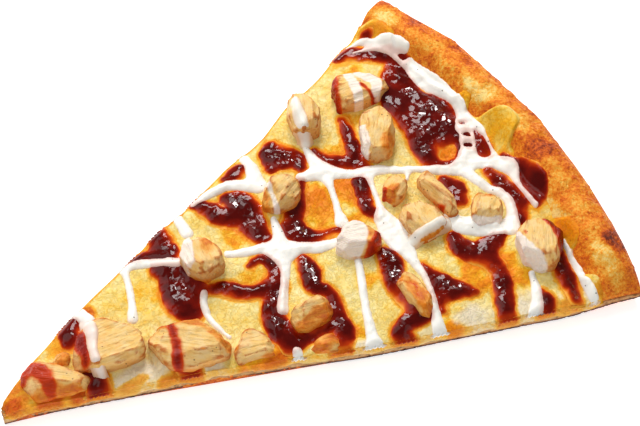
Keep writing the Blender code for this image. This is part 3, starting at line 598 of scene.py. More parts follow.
def grid_normals(points):
    """Unit normals of a (rows, columns, 3) sheet."""
    along = np.gradient(points, axis=1)
    across = np.gradient(points, axis=0)
    normal = np.cross(across, along)
    return normal / np.maximum(np.linalg.norm(normal, axis=-1, keepdims=True), 1e-9)


def sheet_piece(name, edge, base, rise, depth, material, fields):
    """A closed sheet over the working grid, wherever edge is below a small margin.

    Its top lies at base + rise and dives under the base outside the edge. Its underside is buried.
    """
    margin = 1.2 * PITCH
    inside = edge < margin
    cells = inside[:-1, :-1] | inside[1:, :-1] | inside[:-1, 1:] | inside[1:, 1:]
    used = np.zeros(edge.shape, bool)
    for i, j in ((0, 0), (1, 0), (0, 1), (1, 1)):
        used[i : used.shape[0] - 1 + i, j : used.shape[1] - 1 + j] |= cells
    index = np.full(edge.shape, -1)
    index[used] = np.arange(used.sum())
    count = int(used.sum())
    dive = np.where(edge > 0, np.minimum(0.5, edge * 1.3), 0)
    top = np.stack([GRID_X[used], GRID_Y[used], (base + rise - dive)[used]], -1)
    bottom = top - (0, 0, depth)
    bottom[:, 2] = np.minimum(bottom[:, 2], base[used] - depth)
    i, j = np.nonzero(cells)
    quads = np.stack([index[i, j], index[i + 1, j], index[i + 1, j + 1], index[i, j + 1]], -1)
    walls = []
    padded = np.pad(cells, 1)
    for di, dj, a, b in ((-1, 0, 0, 3), (1, 0, 2, 1), (0, -1, 1, 0), (0, 1, 3, 2)):
        bare = ~padded[i + 1 + di, j + 1 + dj]
        first, second = quads[bare, a], quads[bare, b]
        walls.append(np.stack([second, first, first + count, second + count], -1))
    faces = np.vstack([quads, quads[:, ::-1] + count, *walls])
    values = {key: np.tile(value[used], 2) for key, value in fields.items()}
    add_piece(name, np.vstack([top, bottom]), faces, material, (), values)


# ---------------------------------------------------------------- materials


def tint(red, green, blue):
    """A colour as seen on a screen, from 0 to 255, made linear."""
    parts = []
    for value in (red, green, blue):
        value /= 255
        parts.append(value / 12.92 if value <= 0.04045 else ((value + 0.055) / 1.055) ** 2.4)
    return (*parts, 1)


class Finish:
    """A node material under construction: each method adds a node and returns its output."""

    def __init__(self, name):
        self.material = bpy.data.materials.new(name)
        self.material.use_nodes = True
        self.tree = self.material.node_tree
        self.shader = self.tree.nodes["Principled BSDF"]
        self.place = self.add("ShaderNodeTexCoord").outputs["Object"]

    def add(self, kind, **settings):
        node = self.tree.nodes.new(kind)
        for key, value in settings.items():
            setattr(node, key, value)
        return node

    def put(self, socket, value):
        if isinstance(value, bpy.types.NodeSocket):
            self.tree.links.new(value, socket)
        else:
            socket.default_value = value

    def set(self, **values):
        for key, value in values.items():
            self.put(self.shader.inputs[key.replace("_", " ")], value)

    def field(self, name, vector=False):
        node = self.add("ShaderNodeAttribute", attribute_name=name)
        return node.outputs["Vector" if vector else "Fac"]

    def noise(self, size, detail=2.0, rough=0.55, vector=None, distort=0.0):
        """Noise from 0 to 1 with features of a size in millimetres."""
        node = self.add("ShaderNodeTexNoise")
        self.put(node.inputs["Vector"], vector or self.place)
        node.inputs["Scale"].default_value = 1 / (size * (1 if vector else MM))
        node.inputs["Detail"].default_value = detail
        node.inputs["Roughness"].default_value = rough
        node.inputs["Distortion"].default_value = distort
        return node.outputs["Fac"]

    def voronoi(self, size, vector=None):
        node = self.add("ShaderNodeTexVoronoi")
        self.put(node.inputs["Vector"], vector or self.place)
        node.inputs["Scale"].default_value = 1 / (size * (1 if vector else MM))
        return node.outputs

    def cells(self, size, vector=None):
        return self.voronoi(size, vector)["Distance"]

    def shards(self, size, lean):
        """Small flat facets, each leaning its own way: their heights, and which are shiny."""
        cell = self.voronoi(size)
        way = self.vectors("SUBTRACT", cell["Color"], (0.5, 0.5, 0.5))
        along = self.vectors("SUBTRACT", self.place, cell["Position"])
        height = self.vectors("DOT_PRODUCT", along, way)
        shiny = self.span(self.vectors("DOT_PRODUCT", way, (0, 0, 1)), 0.05, 0.1)
        return self.times(height, lean / MM), shiny

    def vectors(self, operation, first, second):
        node = self.add("ShaderNodeVectorMath", operation=operation)
        self.put(node.inputs[0], first)
        self.put(node.inputs[1], second)
        return node.outputs["Value" if operation == "DOT_PRODUCT" else "Vector"]

    def maths(self, operation, first, second=0.0):
        node = self.add("ShaderNodeMath", operation=operation)
        self.put(node.inputs[0], first)
        self.put(node.inputs[1], second)
        return node.outputs[0]

    def times(self, first, second):
        return self.maths("MULTIPLY", first, second)

    def vary(self, value, *layers):
        """Adds noises to a value, each (noise, amount) and centred on its middle."""
        for grain, amount in layers:
            value = self.maths("ADD", value, self.times(self.maths("SUBTRACT", grain, 0.5), amount))
        return value

    def span(self, value, low, high, to_low=0.0, to_high=1.0):
        node = self.add("ShaderNodeMapRange", interpolation_type="SMOOTHSTEP")
        for socket, given in zip(node.inputs, (value, low, high, to_low, to_high)):
            self.put(socket, given)
        return node.outputs[0]

    def mix(self, share, first, second, mode="MIX"):
        node = self.add("ShaderNodeMix", data_type="RGBA", blend_type=mode)
        self.put(node.inputs[0], share)
        self.put(node.inputs[6], first)
        self.put(node.inputs[7], second)
        return node.outputs[2]

    def blend(self, share, low, high):
        """Mixes two numbers."""
        node = self.add("ShaderNodeMix", data_type="FLOAT")
        self.put(node.inputs[0], share)
        self.put(node.inputs[2], low)
        self.put(node.inputs[3], high)
        return node.outputs[0]

    def ramp(self, value, *stops):
        """A colour for each value, from stops of (position, red, green, blue)."""
        node = self.add("ShaderNodeValToRGB")
        self.put(node.inputs[0], value)
        band = node.color_ramp
        while len(band.elements) < len(stops):
            band.elements.new(1)
        for element, (position, *colour) in zip(band.elements, stops):
            element.position = position
            element.color = tint(*colour)
        return node.outputs[0]

    def bump(self, *layers):
        """Stacks bumps, each (height, distance in millimetres)."""
        normal = None
        for height, distance in layers:
            node = self.add("ShaderNodeBump")
            node.inputs["Strength"].default_value = 1
            node.inputs["Distance"].default_value = distance * MM
            self.put(node.inputs["Height"], height)
            if normal:
                self.put(node.inputs["Normal"], normal)
            normal = node.outputs[0]
        self.put(self.shader.inputs["Normal"], normal)
        return normal

    def translucent(self, weight, *reach):
        """Light carried under the surface, over reaches in millimetres for red, green and blue."""
        self.shader.inputs["Subsurface Weight"].default_value = weight
        self.shader.inputs["Subsurface Radius"].default_value = reach
        self.shader.inputs["Subsurface Scale"].default_value = MM


def crust_finish():
    """Baked dough, from pale to charred by a field of toasting and painted shade (the shade along the rim's
    low outer edge), speckled and dimpled.
    """
    look = Finish("baked_crust")
    speck = look.noise(0.9, 4, 0.72)
    broad = look.noise(4.5, 4, 0.65)
    toast_and_shade = look.vary(look.field("toast_and_shade"), (speck, 1.15), (broad, 0.7))
    colour = look.ramp(
        toast_and_shade,
        (0.0, 252, 218, 132),
        (0.2, 248, 182, 66),
        (0.4, 240, 138, 22),
        (0.58, 218, 98, 8),
        (0.76, 172, 66, 12),
        (0.92, 114, 42, 18),
        (1.0, 90, 32, 14),
    )
    pores = look.span(look.cells(1.1), 0.0, 0.3, 1, 0)
    colour = look.mix(look.times(pores, 0.3), colour, tint(160, 84, 26))
    look.set(Base_Color=colour, Roughness=look.span(speck, 0.3, 0.7, 0.45, 0.68), Specular_IOR_Level=0.2)
    look.translucent(0.05, 1.2, 0.6, 0.2)
    look.bump((speck, 0.3), (look.noise(0.45, 2), 0.1), (pores, -0.15))
    return look.material


def crumb_finish():
    """The cut dough: browned underneath, pale and holed inside."""
    look = Finish("cut_crumb")
    fine = look.noise(0.9, 4, 0.65)
    holes = look.span(look.noise(1.7, 2, 0.6), 0.3, 0.45, 1, 0)
    bake = look.vary(look.field("bake"), (fine, 0.6))
    colour = look.ramp(
        bake,
        (0.0, 236, 200, 146),
        (0.3, 206, 158, 100),
        (0.55, 184, 112, 50),
        (0.78, 112, 54, 22),
        (1.0, 52, 20, 10),
    )
    colour = look.mix(look.times(holes, 0.5), colour, tint(140, 88, 42))
    look.set(Base_Color=colour, Roughness=0.7)
    look.translucent(0.12, 1.6, 0.9, 0.5)
    look.bump((fine, 0.4), (holes, -0.35))
    return look.material


def cheese_finish():
    """Melted cheese: pale yellow, golden where browned, milky where thin, stained where sauce touches it."""
    look = Finish("melted_cheese")
    fine = look.noise(0.9, 4, 0.62)
    broad = look.noise(3.2, 4, 0.6, distort=0.5)
    bent = look.maths("ABSOLUTE", look.maths("SUBTRACT", look.noise(2.2, 3, 0.55, distort=1.5), 0.5))
    crease = look.span(bent, 0.0, 0.06, 1, 0)
    gold = look.vary(look.field("gold"), (broad, 0.6), (fine, 0.22))
    gold = look.maths("ADD", gold, look.times(crease, 0.07))
    colour = look.ramp(
        gold,
        (0.0, 250, 237, 182),
        (0.25, 248, 223, 140),
        (0.45, 248, 206, 90),
        (0.62, 246, 180, 28),
        (0.82, 240, 148, 12),
        (1.0, 220, 110, 6),
    )
    milk = look.times(look.field("milk"), look.span(broad, 0.2, 0.6, 0.6, 1))
    colour = look.mix(milk, colour, tint(244, 230, 203))
    stain = look.vary(look.field("stain"), (fine, 0.35))
    stained = look.ramp(
        stain,
        (0.0, 248, 184, 50), (0.35, 238, 138, 8), (0.65, 210, 86, 4), (1.0, 146, 34, 3)
    )
    colour = look.mix(look.span(stain, 0.0, 0.25), colour, tint(255, 216, 112), "MULTIPLY")
    colour = look.mix(look.span(stain, 0.05, 0.7), colour, stained)
    look.set(Base_Color=colour, Roughness=look.span(broad, 0.3, 0.7, 0.36, 0.56), Specular_IOR_Level=0.14)
    look.translucent(0.1, 1.4, 1.0, 0.5)
    look.bump((broad, 0.4), (fine, 0.12), (crease, -0.1))
    return look.material


def barbecue_finish():
    """Thick sauce: near black-red where deep, clear and orange where it thins out, wrinkled in places."""
    look = Finish("barbecue_sauce")
    swirl = look.noise(5.5, 2, 0.5, distort=0.4)
    depth = look.vary(look.field("depth"), (swirl, 0.9))
    colour = look.ramp(
        depth,
        (0.0, 246, 172, 62),
        (0.15, 226, 112, 22),
        (0.34, 184, 52, 5),
        (0.62, 128, 18, 2),
        (1.0, 80, 4, 1),
    )
    look.set(Base_Color=colour, Roughness=0.1, Specular_IOR_Level=0.12)
    look.translucent(0.05, 1.2, 0.2, 0.1)
    leaning, shiny = look.shards(1.3, 0.55)
    broken = look.times(leaning, look.field("wrinkle"))
    tilted = look.bump((swirl, 0.06), (broken, 1.0))
    look.set(Coat_Weight=look.times(look.span(look.field("wrinkle"), 0.35, 0.75), shiny))
    look.set(Coat_Roughness=0.06, Coat_Normal=tilted)
    return look.material


def white_finish():
    """Creamy dressing, thin and rosy at its edges, with a few specks of pepper."""
    look = Finish("white_sauce")
    broad = look.noise(2.5, 2, 0.5)
    speck = look.span(look.cells(2.4), 0.07, 0.12, 1, 0)
    keep = look.span(look.noise(5.0, 1), 0.46, 0.52)
    colour = look.ramp(
        look.field("depth"),
        (0.0, 240, 196, 150), (0.16, 250, 232, 212), (0.4, 252, 249, 240)
    )
    colour = look.mix(look.times(look.field("blush"), 0.6), colour, tint(222, 170, 160))
    colour = look.mix(look.times(look.times(speck, keep), 0.85), colour, tint(70, 60, 50))
    look.set(Base_Color=colour, Roughness=look.span(broad, 0.3, 0.7, 0.3, 0.42), Specular_IOR_Level=0.35)
    look.translucent(0.25, 1.0, 0.9, 0.8)
    look.bump((broad, 0.12))
    return look.material


def chicken_finish():
    """Cooked chicken: pale fibrous meat, seared along its edges and coloured by the sauce around it, with
    painted shade darkening each piece towards its foot.
    """
    look = Finish("chicken")
    grain = look.field("grain", vector=True)
    fibre = look.noise(1.0, 3, 0.6, look.vectors("MULTIPLY", grain, (0.2, 1.5, 1.5)))
    fleck = look.noise(0.8, 3, 0.65, grain)
    broad = look.noise(3.0, 3, 0.6, grain)
    patch = look.noise(5.0, 2, 0.5, grain)
    pale = look.ramp(
        look.maths("ADD", look.times(fibre, 0.3), look.times(broad, 0.7)),
        (0.28, 236, 170, 80),
        (0.42, 245, 200, 118),
        (0.56, 246, 210, 144),
        (0.75, 250, 226, 180),
    )
    pale = look.mix(look.span(fibre, 0.3, 0.44, 0.5, 0), pale, tint(214, 140, 70))
    blush = look.span(patch, 0.52, 0.72, 0, 0.4)
    pale = look.mix(blush, pale, tint(240, 174, 92))
    # Painted shade: the lower part of each piece is tinted a darker tan, as if in shade.
    low = look.span(look.field("rise"), 0.1, 0.8, 0.8, 0.0)
    colour = look.mix(low, pale, tint(204, 124, 52))
    edge = look.vary(look.field("sear"), (fleck, 0.8), (broad, 0.8))
    colour = look.mix(look.span(edge, 0.45, 1.25, 0, 0.85), colour, tint(190, 92, 14))
    specks = look.span(look.cells(2.0, grain), 0.08, 0.14, 1, 0)
    pepper = look.times(specks, look.span(patch, 0.45, 0.5))
    colour = look.mix(look.times(pepper, 0.75), colour, tint(104, 56, 24))
    amber = look.vary(look.field("glaze"), (broad, 1.5), (fibre, 0.5))
    glazing = look.ramp(
        amber, (0.1, 249, 192, 84), (0.5, 240, 146, 24), (0.95, 206, 84, 6)
    )
    colour = look.mix(look.span(amber, 0.12, 0.75, 0, 0.9), colour, glazing)
    sauce = look.vary(look.field("sauce"), (broad, 0.3))
    film = look.ramp(
        sauce,
        (0.1, 238, 134, 18), (0.4, 208, 62, 3), (0.75, 154, 24, 1), (1.0, 104, 8, 1)
    )
    wet = look.span(sauce, 0.1, 0.45)
    colour = look.mix(wet, colour, film)
    veil = look.vary(look.field("veil"), (broad, 0.4))
    colour = look.mix(look.span(veil, 0.15, 0.75, 0, 0.85), colour, tint(253, 242, 232))
    rough = look.blend(wet, look.span(fleck, 0.3, 0.7, 0.36, 0.58), 0.12)
    look.set(Base_Color=colour, Roughness=rough, Specular_IOR_Level=0.15)
    look.translucent(0.08, 1.2, 0.8, 0.35)
    look.bump((fibre, 0.45), (fleck, 0.16))
    return look.material


CRUST = crust_finish()
CRUMB = crumb_finish()
CHEESE = cheese_finish()
BARBECUE = barbecue_finish()
WHITE = white_finish()
CHICKEN = chicken_finish()


# ---------------------------------------------------------------- dough

# Darker and paler places on the rim: (x, y, half length, half width, strength)
CHAR_SPOTS = (
    (170.5, -11, 4.5, 4.6, 0.3),
    (169.5, -48, 4.2, 4.0, 0.34),
    (170.5, 31, 3.6, 5, 0.16),
    (167.5, 50, 3.5, 3, 0.1),
    (164, 60, 4, 3, 0.1),
)
PALE_SPOTS = (
    (168, 17, 2.0, 6.0, 0.3),
    (170, 14, 5, 3.0, 0.22),
    (161.5, -29, 3.2, 6.0, 0.34),
    (164, -20, 3, 6, 0.15),
    (162, 55, 3.0, 5.0, 0.2),
    (163, -52, 3, 7, 0.16),
    (171, -1, 2.5, 4, 0.16),
)
PIT_START = 155.0  # distance from the pizza's centre where the rim's pits begin
PIT_SPACING = 2.6


def build_crust(calm):
    """The whole dough but its cut faces, which stand on it as strips of their own."""
    rows, recess = 340, 0.45
    turn = np.linspace(-1, 1, rows)[:, None]
    edge = outer_radius(turn * HALF_ANGLE)
    along = np.concatenate([np.linspace(0, 0.955, 12), np.linspace(0.963, 1, 16)])
    bottom = blend(POINT_RADIUS, edge - 0.35, along[None, :])
    climb = np.sin(np.linspace(0, math.pi / 2, 26))[None, :]
    crown = edge - RIM_CREST * (1 - np.cos(np.arcsin(climb)))
    fall = edge - np.linspace(RIM_CREST, RIM_WIDTH + 2, 30)[None, 1:]
    bed = blend(edge - RIM_WIDTH - 2, POINT_RADIUS, np.linspace(0, 1, 8)[None, 1:])
    radius = np.hstack([bottom, crown, fall, bed])
    on_top = np.arange(radius.shape[1]) >= bottom.shape[1]
    x, y = in_plan(radius, turn, recess)
    z = np.where(on_top[None, :], dough_top(x, y), dough_bottom(x, y))
    points = np.stack([x, y, z], -1)
    normal = -grid_normals(points)
    flat = points.reshape(-1, 3)
    shape = points.shape[:2]
    lumps = 0.42 * grain3(flat, 3.6, 5.0) + 0.2 * grain3(flat, 1.6, 9.0)
    lumps = lumps + 0.08 * grain3(flat, 0.8, 2.0)
    pits = np.zeros(len(flat))
    for number, (px, py, pz) in enumerate(flat):
        if px * px + py * py > PIT_START**2 and pz > 2:
            near, centres = noise.voronoi((px / PIT_SPACING, py / PIT_SPACING, pz / PIT_SPACING))
            if noise.cell(Vector(centres[0]) * 7.3) > 0.15:
                pits[number] = smooth(1 - near[0] / 0.33)
    rim = smooth((np.hypot(x, y) - 152) / 6) * smooth((z - 1.0) / 2.5) * (1 - sample(calm, x, y))
    inward = edge - radius
    away = (lumps - 0.32 * pits).reshape(shape) * rim
    away = np.where(inward < 2, np.minimum(away, 0), away)
    away = away * blend(0.15, 1, smooth((to_cut(x, y) - 0.4) / 2))
    points = points + normal * away[..., None]
    toast_and_shade = 0.44 + 0.14 * wander(x, y, 9, 3, 2)
    toast_and_shade = toast_and_shade + patches(x, y, CHAR_SPOTS, 5) - patches(x, y, PALE_SPOTS, 6)
    # Browner towards the outer edge; the 0.22 term is painted shade, darkening the rim's low outer edge.
    toast_and_shade = toast_and_shade + 0.08 * smooth(1 - inward / 6) + 0.22 * smooth((5.6 - z) / 3) * smooth(1 - inward / 3)
    toast_and_shade = toast_and_shade - 0.1 * smooth(1 - np.abs(inward - 8) / 5) + 0.3 * pits.reshape(shape)
    toast_and_shade = np.where(on_top[None, :], toast_and_shade, np.where(inward > 6, 0.6, toast_and_shade))
    add_piece("crust_dough", points.reshape(-1, 3), tube_faces(*shape), CRUST, ("crust",),
              {"toast_and_shade": toast_and_shade.ravel()})


def build_cut_face(name, side):
    """A strip of torn crumb along one cut side, from the point to the rim's outer edge."""
    stations, levels, depth = 520, 16, 0.9
    edge = float(outer_radius(np.array([side * HALF_ANGLE]))[0])
    radius = np.concatenate([
        np.linspace(POINT_RADIUS, 158, stations - 80), np.linspace(158.3, edge - 0.05, 80)
    ])
    x, y = in_plan(radius, side)
    low, high = dough_bottom(x, y), dough_top(x, y) - 0.25 * smooth((radius - 155) / 6)
    share = np.linspace(0, 1, levels)[None, :]
    z = blend(low[:, None], high[:, None], share)
    run = np.repeat(radius[:, None], levels, 1)
    relief = 0.1 * wander(run, z * 1.3, 2.2, 21 + side, 3)
    relief = relief - 0.22 * smooth((wander(run, z, 1.6, 31 + side, 2) - 0.12) / 0.3)
    relief *= smooth(share / 0.12) * smooth((1 - share) / 0.12)
    rounding = 0.45 * (smooth(1 - share / 0.15) + smooth(1 - (1 - share) / 0.1))
    out = np.minimum(0, relief - 0.06) - rounding
    across = np.array([-math.sin(HALF_ANGLE), side * math.cos(HALF_ANGLE)])
    face = np.stack([x[:, None] + across[0] * out, y[:, None] + across[1] * out, z], -1)
    back = face[:, ::-1][:, [0, -1]] - np.array([*(across * depth), 0])
    points = np.concatenate([face, back], 1)
    bake = 0.85 * smooth(1 - (z - low[:, None] - 0.5) / 1.1) + 0.3
    rim = smooth((run - 157) / 8)
    bake = bake + 0.1 * rim + 0.15 * smooth((share - 0.7) / 0.3)
    bake = bake + 0.16 * wander(run, z, 7, 40 + side, 2)
    bake = np.concatenate([bake, bake[:, -1:], bake[:, :1]], 1)
    faces = tube_faces(*points.shape[:2])
    add_piece(name, points.reshape(-1, 3), faces, CRUMB, (), {"bake": bake.ravel()})


# ---------------------------------------------------------------- chicken

# Each piece's grain, as a bearing in degrees, how much sauce has glazed it, and how browned its
# edges are: (bearing, glaze, sear)
CHICKEN_LOOKS = {
    1: (-38, 0.25, 0.45), 2: (22, 0.2, 0.45), 3: (-6, 0.05, 0.25), 4: (-38, 0.1, 0.35),
    5: (-17, 0.15, 0.3), 6: (80, 0.1, 0.3), 7: (18, 0.1, 0.4), 8: (68, 0.05, 0.35),
    9: (-8, 0.3, 0.35), 10: (50, 0.0, 0.2), 11: (-15, 0.3, 0.35), 12: (30, 0.35, 0.35),
    13: (82, 0.05, 0.3), 14: (-75, 0.15, 0.4), 15: (45, 0.05, 0.3), 16: (55, 0.2, 0.35),
    17: (-15, 0.25, 0.4), 18: (-21, 0.25, 0.35), 19: (80, 0.3, 0.35),
}
FACETS = 6
FACET_CLIMB, TOP_CLIMB = (22, 58), (78, 86)  # degrees that the facets face above the level
FACET_DEPTH = (0.7, 1.7)
TOP_LIMIT = (CAD_BOX[1][2] / MM) - 0.05  # nothing stands above the solid model


def refined(node, voxel):
    """Vertices, edges and faces of a finer, even copy of a CAD node's mesh, in plan millimetres."""
    work = bpy.data.objects.new("work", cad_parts[node].data.copy())
    bpy.context.scene.collection.objects.link(work)
    fine = work.modifiers.new("fine", "REMESH")
    fine.mode = "VOXEL"
    fine.voxel_size = voxel * MM
    bpy.context.view_layer.update()
    graph = bpy.context.evaluated_depsgraph_get()
    mesh = bpy.data.meshes.new_from_object(work.evaluated_get(graph))
    points = to_plan([v.co for v in mesh.vertices])
    edges = np.array([e.vertices[:] for e in mesh.edges])
    faces = [p.vertices[:] for p in mesh.polygons]
    bpy.data.objects.remove(work)
    bpy.data.meshes.remove(mesh)
    return points, edges, faces


def relax(points, edges, rounds):
    """Moves each point to the middle of its neighbours, several times over."""
    count = np.bincount(edges.ravel(), minlength=len(points))[:, None]
    for _ in range(rounds):
        total = np.zeros_like(points)
        np.add.at(total, edges[:, 0], points[edges[:, 1]])
        np.add.at(total, edges[:, 1], points[edges[:, 0]])
        points = total / count
    return points


def mesh_normals(points, faces):
    total = np.zeros_like(points)
    quads = np.array([f if len(f) == 4 else (*f, f[-1]) for f in faces])
    corner = points[quads]
    face = np.cross(corner[:, 2] - corner[:, 0], corner[:, 3] - corner[:, 1])
    for i in range(4):
        np.add.at(total, quads[:, i], face)
    return total / np.maximum(np.linalg.norm(total, axis=1, keepdims=True), 1e-9)


def trimmed(points, number):
    """Flattens a piece's top and upper edges along a few planes, as meat breaks."""
    dice = np.random.RandomState(100 + number)
    for step in range(FACETS + 1):
        turn = math.tau * (step + 0.6 * dice.rand()) / FACETS
        climb = math.radians(dice.uniform(*(FACET_CLIMB if step < FACETS else TOP_CLIMB)))
        level = math.cos(climb)
        away = np.array([math.cos(turn) * level, math.sin(turn) * level, math.sin(climb)])
        reach = points @ away
        over = np.maximum(0, reach - reach.max() + dice.uniform(*FACET_DEPTH))
        points = points - over[:, None] * away
    return points


def build_chicken():
    """Each piece torn into fibres along its own grain. Returns their shapes, for the sauce to lie over."""
    shapes = []
    for number, (bearing, *_) in CHICKEN_LOOKS.items():
        node = f"chicken_{number:02d}"
        points, edges, faces = refined(node, 0.42)
        points = trimmed(relax(points, edges, 1), number)
        centre = (points.min(0) + points.max(0)) / 2
        normal = mesh_normals(points, faces)
        turn = math.radians(bearing)
        local = points - centre
        along = local[:, 0] * math.cos(turn) + local[:, 1] * math.sin(turn)
        across = -local[:, 0] * math.sin(turn) + local[:, 1] * math.cos(turn)
        grain = np.stack([along, across, local[:, 2]], -1) + number * 31.7
        torn = 0.3 * grain3(grain * (0.6, 1, 1), 4.5) + 0.28 * grain3(grain * (0.7, 1, 1), 1.8, 3.0)
        fibres = 0.26 * grain3(grain * (0.16, 1, 1), 1.0, 7.0)
        away = np.minimum(0.15 + torn + fibres, 0.5)
        points = points + normal * away[:, None]
        points[:, 2] = np.minimum(points[:, 2], TOP_LIMIT)
        rise = (points[:, 2] - points[:, 2].min()) / np.ptp(points[:, 2])
        soft = relax(points, edges, 14)
        sear = np.clip(((points - soft) * mesh_normals(points, faces)).sum(1) / 0.5, -0.3, 1)
        shapes.append((node, points, faces, grain, rise, sear))
    return shapes


def chicken_heights(shapes):
    """How high the chicken stands over the working grid, and -1 where there is none."""
    height = np.full(GRID_X.shape, -1.0)
    for _, points, faces, *_ in shapes:
        tree = BVHTree.FromPolygons([Vector(p) for p in points], faces)
        low = ((points.min(0)[:2] - GRID_LOW) / PITCH).astype(int)
        high = ((points.max(0)[:2] - GRID_LOW) / PITCH).astype(int) + 2
        for i in range(low[0], high[0]):
            for j in range(low[1], high[1]):
                hit = tree.ray_cast(Vector((GRID_X[i, j], GRID_Y[i, j], 60)), Vector((0, 0, -1)))[0]
                if hit:
                    height[i, j] = max(height[i, j], hit.z)
    return height


def finish_chicken(shapes, sauce, amber, veil, sauce_near):
    """Adds the pieces, coloured where sauce runs over or beside them."""
    for node, points, faces, grain, rise, sear in shapes:
        _, glaze_share, sear_share = CHICKEN_LOOKS[int(node[-2:])]
        x, y = points[:, 0], points[:, 1]
        glaze = glaze_share * (0.35 + 0.65 * (1 - rise))
        glaze = np.maximum(glaze, 0.7 * smooth((0.8 - sample(amber, x, y)) / 2.2))
        foot = smooth((1.4 - sample(sauce_near, x, y)) / 1.8) * smooth((0.55 - rise) / 0.4)
        glaze = np.maximum(glaze, 0.8 * foot)
        fields = {
            "grain": grain,
            "rise": rise,
            "sear": sear * 1.3 + sear_share * 0.5,
            "glaze": glaze,
            "sauce": smooth((0.7 - sample(sauce, x, y)) / 3.2) * blend(0.55, 0.85, smooth((x - 20) / 6)),
            "veil": smooth((0.5 - sample(veil, x, y)) / 1.6),
        }
        add_piece(node + "_meat", points, faces, CHICKEN, (node,), fields)


# ---------------------------------------------------------------- cheese

# Sauce soaked into the cheese away from the drizzle: (x, y, half length, half width, strength)
SOAKED_SPOTS = (
    (4, -0.5, 6, 3, 0.75), (12, -5.5, 7, 3, 0.8), (22, -8, 7, 3, 0.8), (8, 3, 5, 2.5, 0.6),
    (33, -12.6, 6, 1.6, 0.5), (44, -16.6, 6, 1.7, 0.6), (22.5, 6.5, 3, 3, 0.5),
    (70, -27, 8, 1.8, 0.7), (35.5, 13.5, 2.2, 3, 0.7), (148, -56, 4, 2, 0.5),
    (158, -57, 2, 2, 0.5), (99, -3, 4, 1.6, 0.3), (116.5, -45, 2.5, 2.2, 0.45),
    (130, -38, 3.5, 2, 0.5), (143, 50.5, 4, 1.6, 0.4), (108, 13, 4, 3, 0.4),
    (118, 13.5, 3, 3, 0.35), (151, 6, 2, 2, 0.3), (24, 11.5, 2.5, 1.5, 0.5),
    (163, -37, 4, 5, 0.45), (160, 53, 5, 5, 0.5),
)
# Browned, golden cheese and thin, milky cheese: (x, y, half length, half width, strength)
GOLD_SPOTS = (
    (108, 10, 7, 9, 0.75), (117, 11, 5, 7, 0.8), (51, 10, 6, 6, 0.35), (82.5, 15, 3.5, 6, 0.6),
    (123, 22.5, 4, 3.5, 0.7), (143, 45, 4, 3, 0.6), (141, -37, 4.5, 7, 0.7), (132, -33, 4, 6, 0.7),
    (116.5, -44.5, 2.5, 3.5, 0.7), (93.5, -31.5, 3.5, 2.5, 0.6), (105.5, -19, 3.5, 3, 0.55),
    (79, -1, 4, 3, 0.45), (150, 5, 3.5, 3, 0.7), (168, 2, 4, 6, 0.25), (165.5, 18, 2, 4, 0.5),
    (161, -36, 3, 6, 0.4), (70, -24, 8, 3.5, 0.7), (112, 0, 5, 3, 0.6), (134, 30, 4, 3, 0.4),
)
MILK_SPOTS = (
    (37.5, -11.5, 9, 4.5, 0.9), (53.5, -20.5, 5, 4.5, 0.9), (91.5, -36.5, 5, 2.5, 0.9),
    (123.5, -46.5, 5, 5.5, 0.9), (134, -50, 8, 6, 0.9), (110, -40, 4, 4, 0.5), (68, -30, 6, 2.5, 0.6),
    (150, -55, 6, 4, 0.6),
)


def cheese_surface():
    """Height of the cheese's top over the working grid."""
    detail = 0.5 * grid_wander(6.5, 51, 2) + 0.18 * grid_wander(2.4, 52, 2) + 0.07 * grid_wander(1.0, 53)
    settled = smooth(to_cut(GRID_X, GRID_Y) / 3)
    top = dough_top(GRID_X, GRID_Y) + GAP + cheese_thickness(GRID_X, GRID_Y)
    return top + detail * blend(0.4, 1, settled)


